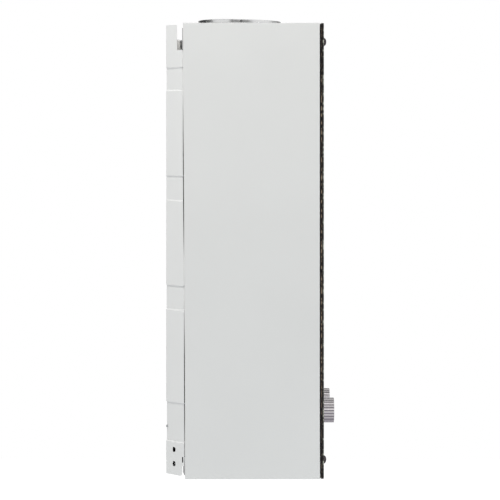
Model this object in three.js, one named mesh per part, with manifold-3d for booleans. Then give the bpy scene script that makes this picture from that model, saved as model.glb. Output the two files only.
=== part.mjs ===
// Wall-hung instantaneous gas water heater with an open flue, in millimetres, +Z up.
// The wall is the plane Y = 0, the front faces -Y and X runs across the width.
// Places are written as [across, out from the wall, up from the cover's lower edge].

import * as THREE from 'three';
import { mergeVertices } from 'three/addons/utils/BufferGeometryUtils.js';
import { RoundedBoxGeometry } from 'three/addons/geometries/RoundedBoxGeometry.js';
import Module from 'manifold-3d';

const wasm = await Module();
wasm.setup();

// Driving dimensions of the casing
const case_width = 330;
const case_height = 550;
const cover_depth = 165.3;
const wall_stand_off = 21;
const cover_sheet = 1;
const cover_edge_radius = 3;
const gasket_thickness = 0.4;
const glass_thickness = 3.6;

// Clearances
const seat_gap = 0.25;
const running_gap = 0.3;
const tuck_gap = 0.35;
const overrun = 1;

// How finely round forms are faceted
const fine_sides = 36;
const round_sides = 14;
const small_sides = 8;
const pipe_sides = 7;
const bend_steps = 2;

// Heights and places that several pieces share
const case_half = case_width / 2;
const cover_front = wall_stand_off + cover_depth;
const glass_back = cover_front + seat_gap + gasket_thickness + seat_gap;
const glass_face = glass_back + glass_thickness;
const knob_height = 77;
const knob_across = 82.5;
const flue_out_share = 0.4114;
const flue_radius_share = 0.3191;
const flue_out = wall_stand_off + cover_depth * flue_out_share;
const flue_radius = cover_depth * flue_radius_share;
const flue_rise = 13;
const hood_drop = 17;
const flue_top = case_height + flue_rise;
const hood_top = case_height - hood_drop;

// Solids and geometry

// Gives the closed solid that a geometry bounds, whichever way its faces were drawn.
function toSolid(geometry) {
  const bare = geometry.clone();
  bare.deleteAttribute('normal');
  bare.deleteAttribute('uv');
  const merged = mergeVertices(bare);
  const place = merged.attributes.position;
  const corners = merged.index.array;
  const [a, b, c] = [new THREE.Vector3(), new THREE.Vector3(), new THREE.Vector3()];
  const triangles = [];
  let volume = 0;
  for (let i = 0; i < corners.length; i += 3) {
    const [p, q, r] = [corners[i], corners[i + 1], corners[i + 2]];
    if (p === q || q === r || r === p) continue;
    triangles.push([p, q, r]);
    a.fromBufferAttribute(place, p);
    b.fromBufferAttribute(place, q);
    c.fromBufferAttribute(place, r);
    volume += a.dot(b.cross(c));
  }
  const outward = volume < 0 ? triangles.map((t) => [t[0], t[2], t[1]]) : triangles;
  return new wasm.Manifold(new wasm.Mesh({
    numProp: 3,
    vertProperties: new Float32Array(place.array),
    triVerts: new Uint32Array(outward.flat()),
  }));
}

function toGeometry(solid) {
  const mesh = solid.getMesh();
  const geometry = new THREE.BufferGeometry();
  geometry.setAttribute('position', new THREE.BufferAttribute(new Float32Array(mesh.vertProperties), 3));
  geometry.setIndex(new THREE.BufferAttribute(new Uint32Array(mesh.triVerts), 1));
  geometry.computeVertexNormals();
  return geometry;
}

function join(...solids) {
  return solids.reduce((whole, solid) => whole.add(solid));
}

function cut(body, ...tools) {
  return tools.reduce((rest, tool) => rest.subtract(tool), body);
}

// The point at a place given as across, out from the wall and up.
function at(across, out, up) {
  return new THREE.Vector3(across, -out, up);
}

// A box between two values across, out from the wall and up.
function block(x0, x1, out0, out1, z0, z1) {
  const geometry = new THREE.BoxGeometry(Math.abs(x1 - x0), Math.abs(out1 - out0), Math.abs(z1 - z0));
  const middle = at((x0 + x1) / 2, (out0 + out1) / 2, (z0 + z1) / 2);
  return toSolid(geometry.translate(middle.x, middle.y, middle.z));
}

// Turns a geometry's own Y axis to a direction and moves its origin to a point.
function aim(geometry, point, direction) {
  const turn = new THREE.Quaternion().setFromUnitVectors(new THREE.Vector3(0, 1, 0), direction);
  return geometry.applyQuaternion(turn).translate(point.x, point.y, point.z);
}

// A straight round bar from one point to another.
function bar(start, end, radius, sides = round_sides) {
  const along = end.clone().sub(start);
  const middle = start.clone().add(end).multiplyScalar(0.5);
  const geometry = new THREE.CylinderGeometry(radius, radius, along.length(), sides);
  return toSolid(aim(geometry, middle, along.normalize()));
}

// A round cutter whose flats, rather than its corners, lie at the radius.
function drill(start, end, radius, sides = small_sides) {
  return bar(start, end, radius / Math.cos(Math.PI / sides), sides);
}

// A body of revolution: pairs of radius and distance along the direction, from a point.
function turned(profile, point, direction, sides = round_sides) {
  const outline = profile.map(([radius, along]) => new THREE.Vector2(radius, along));
  const first = outline[0];
  const last = outline[outline.length - 1];
  if (first.x > 0 || last.x > 0) outline.push(first.clone());
  return toSolid(aim(new THREE.LatheGeometry(outline, sides), point, direction));
}

// How an outline's two values and its thickness lie in space, for each plane it is drawn in.
const planes = {
  front: new THREE.Matrix4().set(1, 0, 0, 0, 0, 0, -1, 0, 0, 1, 0, 0, 0, 0, 0, 1),
  top: new THREE.Matrix4().set(1, 0, 0, 0, 0, -1, 0, 0, 0, 0, 1, 0, 0, 0, 0, 1),
  side: new THREE.Matrix4().set(0, 0, 1, 0, -1, 0, 0, 0, 0, 1, 0, 0, 0, 0, 0, 1),
};

// An outline drawn in a plane and made solid between two distances square to it:
// front is across and up, top is across and out, side is out and up.
function slab(plane, points, from, to) {
  const shape = new THREE.Shape(points.map(([u, v]) => new THREE.Vector2(u, v)));
  const geometry = new THREE.ExtrudeGeometry(shape, { depth: to - from, bevelEnabled: false });
  return toSolid(geometry.translate(0, 0, from).applyMatrix4(planes[plane]));
}

// Points on an arc about a centre, angles in degrees.
function arc(centre, radius, from, to, steps = bend_steps) {
  const points = [];
  for (let i = 0; i <= steps; i += 1) {
    const angle = THREE.MathUtils.degToRad(from + ((to - from) * i) / steps);
    points.push([centre[0] + radius * Math.cos(angle), centre[1] + radius * Math.sin(angle)]);
  }
  return points;
}

// A rectangle with rounded corners.
function roundedRect(u0, u1, v0, v1, radius, steps = bend_steps) {
  return [
    ...arc([u1 - radius, v0 + radius], radius, -90, 0, steps),
    ...arc([u1 - radius, v1 - radius], radius, 0, 90, steps),
    ...arc([u0 + radius, v1 - radius], radius, 90, 180, steps),
    ...arc([u0 + radius, v0 + radius], radius, 180, 270, steps),
  ];
}

// The closed outline of a sheet that lies on the left of an open line.
function thicken(line, thickness) {
  const normals = line.slice(1).map(([u, v], i) => {
    const step = new THREE.Vector2(u - line[i][0], v - line[i][1]).normalize();
    return new THREE.Vector2(-step.y, step.x);
  });
  const inner = line.map(([u, v], i) => {
    const before = normals[Math.max(i - 1, 0)];
    const after = normals[Math.min(i, normals.length - 1)];
    const mitre = before.clone().add(after).multiplyScalar(thickness / (1 + before.dot(after)));
    return [u + mitre.x, v + mitre.y];
  });
  return [...line, ...inner.reverse()];
}

// A closed skin through rings of equal length, with flat ends.
function loft(rings, capPoint) {
  const count = rings[0].length;
  const triangles = [];
  for (let level = 0; level + 1 < rings.length; level += 1) {
    for (let i = 0; i < count; i += 1) {
      const [p, q] = [level * count + i, level * count + ((i + 1) % count)];
      triangles.push(p, q, q + count, p, q + count, p + count);
    }
  }
  const contour = rings[0].map(capPoint);
  const last = (rings.length - 1) * count;
  for (const face of THREE.ShapeUtils.triangulateShape(contour, [])) {
    const [p, q, r] = THREE.ShapeUtils.isClockWise(contour) ? face.reverse() : face;
    triangles.push(r, q, p, last + p, last + q, last + r);
  }
  const geometry = new THREE.BufferGeometry().setFromPoints(rings.flat());
  geometry.setIndex(triangles);
  return toSolid(geometry);
}

// A path through corner points with each corner rounded.
function route(corners, radius, steps = bend_steps) {
  const path = [corners[0]];
  for (let i = 1; i + 1 < corners.length; i += 1) {
    const corner = corners[i];
    const back = corners[i - 1].clone().sub(corner).normalize();
    const on = corners[i + 1].clone().sub(corner).normalize();
    const half = back.angleTo(on) / 2;
    const reach = radius / Math.tan(half);
    const centre = back.clone().add(on).normalize().multiplyScalar(radius / Math.sin(half)).add(corner);
    const first = back.multiplyScalar(reach).add(corner).sub(centre);
    const final = on.multiplyScalar(reach).add(corner).sub(centre);
    const axis = first.clone().cross(final).normalize();
    const sweepAngle = first.angleTo(final);
    for (let step = 0; step <= steps; step += 1) {
      path.push(first.clone().applyAxisAngle(axis, (sweepAngle * step) / steps).add(centre));
    }
  }
  path.push(corners[corners.length - 1]);
  return path;
}

// A round tube along a path, with flat ends square to it.
function tube(path, radius, sides = pipe_sides) {
  const directions = path.map((point, i) => {
    const before = path[Math.max(i - 1, 0)];
    const after = path[Math.min(i + 1, path.length - 1)];
    return after.clone().sub(before).normalize();
  });
  const upright = Math.abs(directions[0].z) > Math.SQRT1_2;
  let side = new THREE.Vector3(upright ? 1 : 0, 0, upright ? 0 : 1);
  const rings = path.map((point, i) => {
    const along = directions[i];
    side = side.clone().addScaledVector(along, -side.dot(along)).normalize();
    const other = along.clone().cross(side);
    return Array.from({ length: sides }, (unused, k) => {
      const angle = ((k + 0.5) * 2 * Math.PI) / sides;
      return point.clone()
        .addScaledVector(side, radius * Math.cos(angle))
        .addScaledVector(other, radius * Math.sin(angle));
    });
  });
  const origin = path[0];
  const flatSide = rings[0][0].clone().sub(origin).normalize();
  const flatOther = directions[0].clone().cross(flatSide);
  return loft(rings, (point, i) => {
    const spoke = rings[0][i].clone().sub(origin);
    return new THREE.Vector2(spoke.dot(flatSide), spoke.dot(flatOther));
  });
}

const towards_front = new THREE.Vector3(0, -1, 0);
const towards_right = new THREE.Vector3(1, 0, 0);
const upwards = new THREE.Vector3(0, 0, 1);
const towards_wall = new THREE.Vector3(0, 1, 0);

// Finishes

function finish(color, roughness, metalness) {
  return new THREE.MeshStandardMaterial({ color, roughness, metalness });
}

const white_enamel = finish(0xdfe1e1, 0.35, 0.05);
const plate_enamel = finish(0xe2e5e6, 0.4, 0.05);
const printed_glass = finish(0x141312, 0.08, 0);
const black_foam = finish(0x0b0b0b, 0.9, 0);
const dark_chrome = finish(0x4a4847, 0.2, 1);
const satin_silver = finish(0xb9b4b4, 0.32, 0.85);
const zinc_steel = finish(0xa9abac, 0.38, 0.9);
const screw_steel = finish(0x8f9090, 0.35, 0.9);
const copper = finish(0xb8724a, 0.35, 0.9);
const brass = finish(0xb99a54, 0.38, 0.85);
const cast_aluminium = finish(0xa8aaac, 0.5, 0.8);
const black_plastic = finish(0x1d1d1f, 0.5, 0);
const grey_plastic = finish(0x8a8d8f, 0.55, 0);
const red_plastic = finish(0x9c2a22, 0.45, 0);
const black_rubber = finish(0x17181a, 0.85, 0);
const white_ceramic = finish(0xe9e6dd, 0.4, 0);
const cell_jacket = finish(0x3d5a48, 0.4, 0.2);

// The unit and its groups

const unit = new THREE.Group();
unit.position.z = -case_height / 2;
const casing = new THREE.Group();
const flue = new THREE.Group();
const exchanger = new THREE.Group();
const burner = new THREE.Group();
const valves = new THREE.Group();
const electrics = new THREE.Group();
unit.add(casing, flue, exchanger, burner, valves, electrics);

// Adds a piece to a group, at a place when it is drawn about its own origin.
function add(group, name, solid, material, place = at(0, 0, 0)) {
  const mesh = new THREE.Mesh(toGeometry(solid), material);
  mesh.name = name;
  mesh.position.copy(place);
  group.add(mesh);
  return mesh;
}

// Back plate: a stamped pan, narrower at the wall, whose flanges slope out to the cover

const plate_sheet = 1;
const plate_bottom = 4.5;
const plate_drop = 2.5;
const plate_top = case_height - plate_drop;
const plate_bend_radius = 2.5;
const flange_lean = 24;
const flange_tuck = 8;
const band_depth = 1.3;
const band_slope = 2.4;
const band_slant = 1;
const band_shares = [[0.0833, 0.1645], [0.3735, 0.4229], [0.6136, 0.6626], [0.8557, 0.9009]];
const band_rear_shares = [1, 0.6, 0.2, 0.2];
const upper_notch_out = 13.5;
const upper_notch_drop = 33;
const upper_notch_height = case_height - upper_notch_drop;
const lower_notch_out = 19.5;
const lower_notch_height = 17;
const flange_corner_radius = 3;
const flange_hole_radius = 2.4;
const flange_hole_reach = 6;
const flange_hole_out = 9.3;
const flange_hole_heights = [17.2, 34.4];
const hanging_hole_radius = 6;
const hanging_slot_radius = 3;
const hanging_slot_rise = 10;
const hanging_across = 80;
const hanging_inset = 34;
const fixing_slot_height = 28;
const plate_front_half = case_half - cover_sheet - tuck_gap;
const plate_rear_half = plate_front_half - flange_lean;

// The plate's outline seen from above, its flanges and its rear pushed in by the depth of a band.
function plateOutline(inset, rear_inset) {
  const front = plate_front_half - inset;
  const centre = [plate_rear_half - inset - plate_bend_radius, plate_bend_radius + rear_inset];
  const lean = THREE.MathUtils.radToDeg(Math.atan(flange_lean / wall_stand_off));
  const right = [
    [front, wall_stand_off + flange_tuck],
    [front, wall_stand_off],
    ...arc(centre, plate_bend_radius, -lean, -90),
  ];
  const left = right.map(([across, out]) => [-across, out]).reverse();
  return thicken([...right, ...left].reverse(), plate_sheet);
}

function backPlate() {
  const levels = [[plate_bottom, 0, 0]];
  band_shares.forEach(([low, high], index) => {
    const rear_depth = band_depth * band_rear_shares[index];
    levels.push([low * case_height - band_slope, 0, 0], [low * case_height, band_depth, rear_depth]);
    levels.push([high * case_height, band_depth, rear_depth], [high * case_height + band_slope, 0, 0]);
  });
  levels.push([plate_top, 0, 0]);
  const rings = levels.map(([z, inset, rear_inset]) => plateOutline(inset, rear_inset).map(([x, out]) => {
    const slant = z === plate_top ? 0 : band_slant * Math.min(out / wall_stand_off, 1);
    return at(x, out, z - slant);
  }));
  const pan = loft(rings, (point) => new THREE.Vector2(point.x, point.y));

  const beyond = case_half + overrun;
  const tip = wall_stand_off + flange_tuck + overrun;
  const upper_notch = block(-beyond, beyond, upper_notch_out, tip, upper_notch_height, plate_top + overrun);
  const foot = plate_bottom - overrun;
  const round = flange_corner_radius;
  const corner = [lower_notch_out - round, plate_bottom + round];
  const lower_notch = slab('side', [
    [tip, foot],
    [tip, lower_notch_height],
    [lower_notch_out, lower_notch_height],
    ...arc(corner, round, 0, -90),
    [lower_notch_out - round, foot],
  ], -beyond, beyond);
  const tools = [upper_notch, lower_notch];
  const slope = Math.atan2(wall_stand_off, flange_lean);
  const across = plate_rear_half + flange_lean * flange_hole_out / wall_stand_off;
  const [reach_across, reach_out] = [flange_hole_reach * Math.sin(slope), flange_hole_reach * Math.cos(slope)];
  for (const z of flange_hole_heights) {
    for (const side of [-1, 1]) {
      tools.push(drill(at(side * (across - reach_across), flange_hole_out + reach_out, z),
        at(side * (across + reach_across), flange_hole_out - reach_out, z), flange_hole_radius));
    }
  }
  for (const x of [-hanging_across, hanging_across]) {
    const z = plate_top - hanging_inset;
    const [rear, front] = [-overrun, plate_sheet + overrun];
    tools.push(drill(at(x, rear, z), at(x, front, z), hanging_hole_radius));
    tools.push(slab('front', roundedRect(x - hanging_slot_radius, x + hanging_slot_radius,
      z, z + hanging_slot_rise + hanging_slot_radius, hanging_slot_radius, 2), rear, front));
    tools.push(slab('front', roundedRect(x - hanging_slot_rise, x + hanging_slot_rise,
      fixing_slot_height - hanging_slot_radius, fixing_slot_height + hanging_slot_radius,
      hanging_slot_radius, 2), rear, front));
  }
  return cut(pan, ...tools);
}

add(casing, 'back_plate', backPlate(), plate_enamel);

// Front cover: a five-sided jacket, open behind, with a notch for the flue and a cut-out below

const spindle_hole_radius = 7;
const screw_inset_across = 19;
const screw_inset_up = 22;
const glass_screw_shank = 2;
const glass_screw_head = 5.5;
const glass_screw_rise = 3.2;
const glass_screw_end = 6;
const display_half_width = 33;
const display_half_height = 11;
const flue_notch_clearance = 2.2;
const bottom_opening_inset = 45;
const bottom_opening_half = case_half - bottom_opening_inset;
const bottom_opening_out = 150;
const bottom_opening_radius = 8;
const cover_screw_inset = 26;
const cover_screw_across = case_half - cover_screw_inset;
const cover_screw_out = 40;
const cover_screw_shank = 1.9;
const rear_edge_setback = 0.1;
const rear_edge_lean = 2.3;
const cover_segments = 2;
const inner_segments = 1;

const glass_screw_places = [
  ['glass_screw_upper_left', -1, case_height - screw_inset_up],
  ['glass_screw_upper_right', 1, case_height - screw_inset_up],
  ['glass_screw_lower_left', -1, screw_inset_up],
  ['glass_screw_lower_right', 1, screw_inset_up],
].map(([name, side, z]) => [name, side * (case_half - screw_inset_across), z]);

// A rounded box from the cover's front to a plane behind, shrunk all round by an inset.
function roundedBox(inset, rear, segments) {
  const front = cover_front - inset;
  const width = case_width - 2 * inset;
  const height = case_height - 2 * inset;
  const radius = cover_edge_radius - inset;
  const geometry = new RoundedBoxGeometry(width, front - rear, height, segments, radius);
  return toSolid(geometry.translate(0, -(front + rear) / 2, case_height / 2));
}

function frontCover() {
  const rear = wall_stand_off - 2 * cover_edge_radius;
  const outer = roundedBox(0, rear, cover_segments);
  const inner = roundedBox(cover_sheet, rear - 2 * overrun - cover_edge_radius, inner_segments);
  const beyond = case_half + overrun;
  const rear_edge = wall_stand_off - rear_edge_setback;
  const behind = slab('side', [
    [rear - overrun, -overrun],
    [rear_edge + rear_edge_lean, -overrun],
    [rear_edge, case_height + overrun],
    [rear - overrun, case_height + overrun],
  ], -beyond, beyond);

  const notch_radius = flue_radius + flue_notch_clearance;
  const notch = slab('top', [
    [notch_radius, wall_stand_off - overrun],
    ...arc([0, flue_out], notch_radius, 0, 180, round_sides / 2),
    [-notch_radius, wall_stand_off - overrun],
  ], case_height - cover_sheet - overrun, case_height + overrun);
  const opening = slab('top', roundedRect(-bottom_opening_half, bottom_opening_half,
    wall_stand_off - bottom_opening_radius - overrun, bottom_opening_out, bottom_opening_radius),
  -overrun, cover_sheet + overrun);

  const [inside, outside] = [cover_front - cover_sheet - overrun, cover_front + overrun];
  const tools = [inner, behind, notch, opening];
  for (const x of [-knob_across, knob_across]) {
    tools.push(drill(at(x, inside, knob_height), at(x, outside, knob_height), spindle_hole_radius));
  }
  tools.push(block(-display_half_width, display_half_width, inside, outside,
    knob_height - display_half_height, knob_height + display_half_height));
  for (const [, x, z] of glass_screw_places) {
    tools.push(drill(at(x, inside, z), at(x, outside, z), glass_screw_shank + running_gap, pipe_sides));
  }
  for (const x of [-cover_screw_across, cover_screw_across]) {
    tools.push(drill(at(x, cover_screw_out, -overrun), at(x, cover_screw_out, cover_sheet + overrun),
      cover_screw_shank + running_gap, pipe_sides));
  }
  return cut(outer, ...tools);
}

add(casing, 'front_cover', frontCover(), white_enamel);

// Glass front with ground edges, and the foam strip it lies on

const glass_corner_radius = 4;
const glass_chamfer = 0.5;
const gasket_width = 10;
const gasket_inset = 0.5;

function frontGlass() {
  const outline = roundedRect(-case_half, case_half, 0, case_height, glass_corner_radius);
  const shape = new THREE.Shape(outline.map(([x, z]) => new THREE.Vector2(x, z)));
  const holes = [
    [-knob_across, knob_height, spindle_hole_radius],
    [knob_across, knob_height, spindle_hole_radius],
    ...glass_screw_places.map(([, x, z]) => [x, z, glass_screw_shank + 2 * running_gap]),
  ];
  for (const [x, z, radius] of holes) {
    const hole = arc([x, z], radius, 360, 0, small_sides).slice(1);
    shape.holes.push(new THREE.Path(hole.map(([u, v]) => new THREE.Vector2(u, v))));
  }
  const geometry = new THREE.ExtrudeGeometry(shape, {
    depth: glass_thickness - 2 * glass_chamfer,
    bevelThickness: glass_chamfer,
    bevelSize: glass_chamfer,
    bevelOffset: -glass_chamfer,
    bevelSegments: 1,
  });
  return toSolid(geometry.translate(0, 0, glass_back + glass_chamfer).applyMatrix4(planes.front));
}

function glassGasket() {
  const edge = case_half - gasket_inset;
  const out = cover_front + seat_gap;
  const whole = slab('front', roundedRect(-edge, edge, gasket_inset, case_height - gasket_inset,
    glass_corner_radius), out, out + gasket_thickness);
  const inner = case_half - gasket_width;
  const hollow = block(-inner, inner, out - overrun, out + gasket_thickness + overrun,
    gasket_width, case_height - gasket_width);
  return cut(whole, hollow);
}

add(casing, 'front_glass', frontGlass(), printed_glass);
add(casing, 'glass_gasket', glassGasket(), black_foam);

// Cap screws that hold the glass, drawn about the point where the cap meets it

function glassScrew() {
  const head = glass_screw_head;
  const rise = glass_screw_rise;
  const end = -(glass_face - cover_front) - glass_screw_end;
  return turned([
    [0, end],
    [glass_screw_shank, end],
    [glass_screw_shank, 0],
    [head, 0],
    [head, rise / 4],
    [head * Math.cos(Math.PI / 6), rise * 0.6],
    [head / 2, rise * 0.9],
    [0, rise],
  ], at(0, 0, 0), towards_front, small_sides);
}

for (const [name, x, z] of glass_screw_places) {
  add(casing, name, glassScrew(), dark_chrome, at(x, glass_face + seat_gap, z));
}

// Screws that hold the cover from below, drawn about the underside of the cover

const cover_screw_head = 4;
const cover_screw_rise = 1.8;
const cover_screw_length = 8;

function coverScrew() {
  return turned([
    [0, cover_screw_length],
    [cover_screw_shank, cover_screw_length],
    [cover_screw_shank, 0],
    [cover_screw_head, 0],
    [cover_screw_head / 2, -cover_screw_rise],
    [0, -cover_screw_rise],
  ], at(0, 0, 0), upwards, small_sides);
}

add(casing, 'cover_screw_left', coverScrew(), screw_steel,
  at(-cover_screw_across, cover_screw_out, -seat_gap));
add(casing, 'cover_screw_right', coverScrew(), screw_steel,
  at(cover_screw_across, cover_screw_out, -seat_gap));

// Knobs: fluted grips with a crowned face, drawn about the middle of their rear face

const knob_radius = 15.5;
const knob_length = 14.4;
const knob_flutes = 24;
const knob_flute_depth = 0.8;
const knob_chamfer = 1;
const knob_crown = 0.5;
const knob_gap = 0.4;
const knob_bore_depth = 9;
const knob_pointer_width = 1.6;
const knob_pointer_depth = 0.5;
const spindle_radius = 4;

// A ring of the knob: three points to a flute, at a distance from the rear face.
function knobRing(radius, along) {
  const points = [];
  for (let i = 0; i < knob_flutes * 3; i += 1) {
    const angle = (i * 2 * Math.PI) / (knob_flutes * 3);
    const r = i % 3 === 0 ? radius - knob_flute_depth : radius;
    points.push(at(r * Math.sin(angle), along, r * Math.cos(angle)));
  }
  return points;
}

function knob() {
  const shoulder = knob_length - knob_crown - knob_chamfer;
  const grip = loft([
    knobRing(knob_radius - knob_flute_depth, 0),
    knobRing(knob_radius, knob_flute_depth),
    knobRing(knob_radius, shoulder),
    knobRing(knob_radius - knob_chamfer, shoulder + knob_chamfer),
  ], (point) => new THREE.Vector2(point.x, point.z));
  const face = knob_radius - 2 * knob_chamfer;
  const crown = turned([
    [0, shoulder],
    [face, shoulder],
    [face, shoulder + knob_chamfer],
    [face / 2, knob_length - knob_crown / 4],
    [0, knob_length],
  ], at(0, 0, 0), towards_front);
  const bore = drill(at(0, -overrun, 0), at(0, knob_bore_depth, 0), spindle_radius + running_gap);
  const pointer = block(-knob_pointer_width / 2, knob_pointer_width / 2,
    knob_length - knob_crown - knob_pointer_depth, knob_length + overrun,
    knob_radius / 3, knob_radius - 2 * knob_chamfer);
  return cut(join(grip, crown), bore, pointer);
}

const knob_base = glass_face + knob_gap;
add(casing, 'gas_knob', knob(), satin_silver, at(-knob_across, knob_base, knob_height));
add(casing, 'water_knob', knob(), satin_silver, at(knob_across, knob_base, knob_height));

// Display behind the glass, held against the cover's front panel

const display_margin = 6;
const display_depth = 10;
const display_lip = 0.8;

function displayModule() {
  const [x, z] = [display_half_width, display_half_height];
  const panel = cover_front - cover_sheet - seat_gap;
  const box = slab('front', roundedRect(-x - display_margin, x + display_margin,
    knob_height - z - display_margin, knob_height + z + display_margin, display_margin / 2, 2),
  panel - display_depth, panel);
  const face = block(-x + running_gap, x - running_gap, panel, cover_front - seat_gap / 2,
    knob_height - z + running_gap, knob_height + z - running_gap);
  const recess = block(-x + display_lip * 3, x - display_lip * 3, cover_front - display_lip,
    cover_front + overrun, knob_height - z + display_lip * 3, knob_height + z - display_lip * 3);
  return cut(join(box, face), recess);
}

add(electrics, 'display_module', displayModule(), black_plastic);

// Flue collar with its base flange and hemmed rim

const flue_sheet = 0.8;
const flue_flange_width = 7;
const flue_hem = 4;

function flueCollar() {
  const base = hood_top + seat_gap;
  const inner = flue_radius - flue_sheet;
  return turned([
    [inner, base],
    [flue_radius + flue_flange_width, base],
    [flue_radius + flue_flange_width, base + flue_sheet],
    [flue_radius - flue_sheet / 4, base + flue_sheet],
    [flue_radius - flue_sheet / 4, flue_top - flue_hem],
    [flue_radius, flue_top - flue_hem],
    [flue_radius, flue_top],
    [inner - flue_sheet, flue_top],
    [inner - flue_sheet, flue_top - flue_hem],
    [inner, flue_top - flue_hem],
  ], at(0, flue_out, 0), upwards, fine_sides);
}

add(flue, 'flue_collar', flueCollar(), zinc_steel);

// Combustion chamber shell: an open copper box with holes for the tube passes and electrodes

const shell_sheet = 1;
const shell_half = 96;
const shell_rear = 30;
const shell_setback = 36.3;
const shell_front = cover_front - shell_setback;
const frame_lift_share = 0.3558;
const frame_height = 66.3;
const rail_height = case_height * frame_lift_share;
const frame_top = rail_height + frame_height;
const shell_gap = 6;
const shell_top_share = 0.8545;
const shell_bottom = frame_top + shell_gap;
const shell_top = case_height * shell_top_share;
const shell_corner = 6;
const tube_radius = 6.5;
const pass_pitch_share = 0.1833;
const pass_pitch = (shell_front - shell_rear) * pass_pitch_share;
const pass_count = 5;
const pass_drop = 35;
const pass_height = shell_top - pass_drop;
const electrode_rise = 12;
const electrode_height = shell_bottom + electrode_rise;
const electrode_across = 22;
const ceramic_radius = 3.5;
const shell_middle = (shell_rear + shell_front) / 2;
const pass_outs = Array.from({ length: pass_count }, (unused, i) => (
  shell_middle + (i - (pass_count - 1) / 2) * pass_pitch));

function exchangerShell() {
  const outer = slab('top', roundedRect(-shell_half, shell_half, shell_rear, shell_front,
    shell_corner, 2), shell_bottom, shell_top);
  const inner = slab('top', roundedRect(-shell_half + shell_sheet, shell_half - shell_sheet,
    shell_rear + shell_sheet, shell_front - shell_sheet, shell_corner - shell_sheet, 2),
  shell_bottom - overrun, shell_top + overrun);
  const beyond = shell_half + overrun;
  const tools = pass_outs.map((out) => drill(at(-beyond, out, pass_height), at(beyond, out, pass_height),
    tube_radius + running_gap));
  for (const x of [-electrode_across, electrode_across]) {
    tools.push(drill(at(x, shell_front - overrun - shell_sheet, electrode_height),
      at(x, shell_front + overrun, electrode_height), ceramic_radius + running_gap));
  }
  return cut(outer, inner, ...tools);
}

add(exchanger, 'exchanger_shell', exchangerShell(), copper);

// Finned core: one tube in five passes through a block of thin fins

const fin_count = 10;
const fin_thickness = 1;
const fin_height = 50;
const fin_corner = 8;
const fin_margin = 3;
const pass_end = 112;
const pass_sides = 6;

function finCore() {
  const bend_radius = pass_pitch / 2;
  const corners = [at(pass_end, pass_outs[0], pass_height)];
  pass_outs.forEach((out, i) => {
    const far = (i % 2 === 0 ? -1 : 1) * (pass_end + seat_gap);
    if (i + 1 < pass_count) {
      corners.push(at(far, out, pass_height), at(far, pass_outs[i + 1], pass_height));
    }
  });
  corners.push(at(-pass_end, pass_outs[pass_count - 1], pass_height));
  const serpentine = tube(route(corners, bend_radius), tube_radius, pass_sides);
  const outline = roundedRect(shell_rear + fin_margin, shell_front - fin_margin,
    pass_height - fin_height / 2, pass_height + fin_height / 2, fin_corner, 1);
  const span = 2 * (shell_half - shell_sheet - fin_margin) - fin_thickness;
  const fins = [];
  for (let i = 0; i < fin_count; i += 1) {
    const x = -span / 2 + (span * i) / (fin_count - 1);
    fins.push(slab('side', outline, x - fin_thickness / 2, x + fin_thickness / 2));
  }
  return join(serpentine, ...fins);
}

add(exchanger, 'fin_core', finCore(), copper);

// Chamber coil: rises from the water valve, winds round the shell and ends at the core

const pipe_bend = 14;
const coil_rise = 22;
const coil_climb_share = 0.0677;
const coil_start = electrode_height + coil_rise;
const coil_climb = (pass_height - coil_start) * coil_climb_share;
const coil_turns = 2;
const riser_across = 125;
const valve_out = 98;
const rod_height = 100;
const valve_top_rise = 22;
const valve_top = rod_height + valve_top_rise;
const valve_boss_rise = 8;
const coil_half = shell_half + seat_gap + tube_radius;
const coil_rear = shell_rear - seat_gap - tube_radius;
const coil_front = shell_front + seat_gap + tube_radius;

function chamberCoil() {
  const corners = [
    at(coil_half, valve_out, valve_top + valve_boss_rise + seat_gap),
    at(coil_half, valve_out, coil_start),
  ];
  let z = coil_start;
  const next = (x, out) => {
    z += coil_climb;
    corners.push(at(x, out, z));
  };
  for (let turn = 0; turn < coil_turns; turn += 1) {
    next(coil_half, coil_rear);
    next(-coil_half, coil_rear);
    next(-coil_half, coil_front);
    next(coil_half, coil_front);
  }
  next(riser_across, pass_outs[0]);
  corners.push(at(riser_across, pass_outs[0], pass_height));
  corners.push(at(pass_end + seat_gap, pass_outs[0], pass_height));
  return tube(route(corners, pipe_bend - tube_radius / 2), tube_radius);
}

add(exchanger, 'chamber_coil', chamberCoil(), copper);

// Hot pipe: from the core's last pass down the left side to the outlet

const fitting_out = 42;
const outlet_across = 0;
const outlet_top = 60;
const hot_high_share = 0.4364;
const hot_low_share = 0.3055;
const hot_drop_high = case_height * hot_high_share;
const hot_drop_low = case_height * hot_low_share;

function hotPipe() {
  const last = pass_outs[pass_count - 1];
  return tube(route([
    at(-pass_end - seat_gap, last, pass_height),
    at(-riser_across, last, pass_height),
    at(-riser_across, last, hot_drop_high),
    at(-riser_across, fitting_out, hot_drop_high - coil_climb),
    at(-riser_across, fitting_out, hot_drop_low),
    at(outlet_across, fitting_out, hot_drop_low),
    at(outlet_across, fitting_out, outlet_top + seat_gap),
  ], pipe_bend - tube_radius / 2), tube_radius);
}

add(exchanger, 'hot_pipe', hotPipe(), copper);

// Flue hood: sits over the shell, open below and along its rear as a draught break

const hood_sheet = 0.8;
const hood_rear = 16;
const hood_lap = 8;
const hood_relief_rise = 8;
const hood_corner = 3;
const hood_half = shell_half + seat_gap + hood_sheet;
const hood_front = shell_front + seat_gap + hood_sheet;

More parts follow.
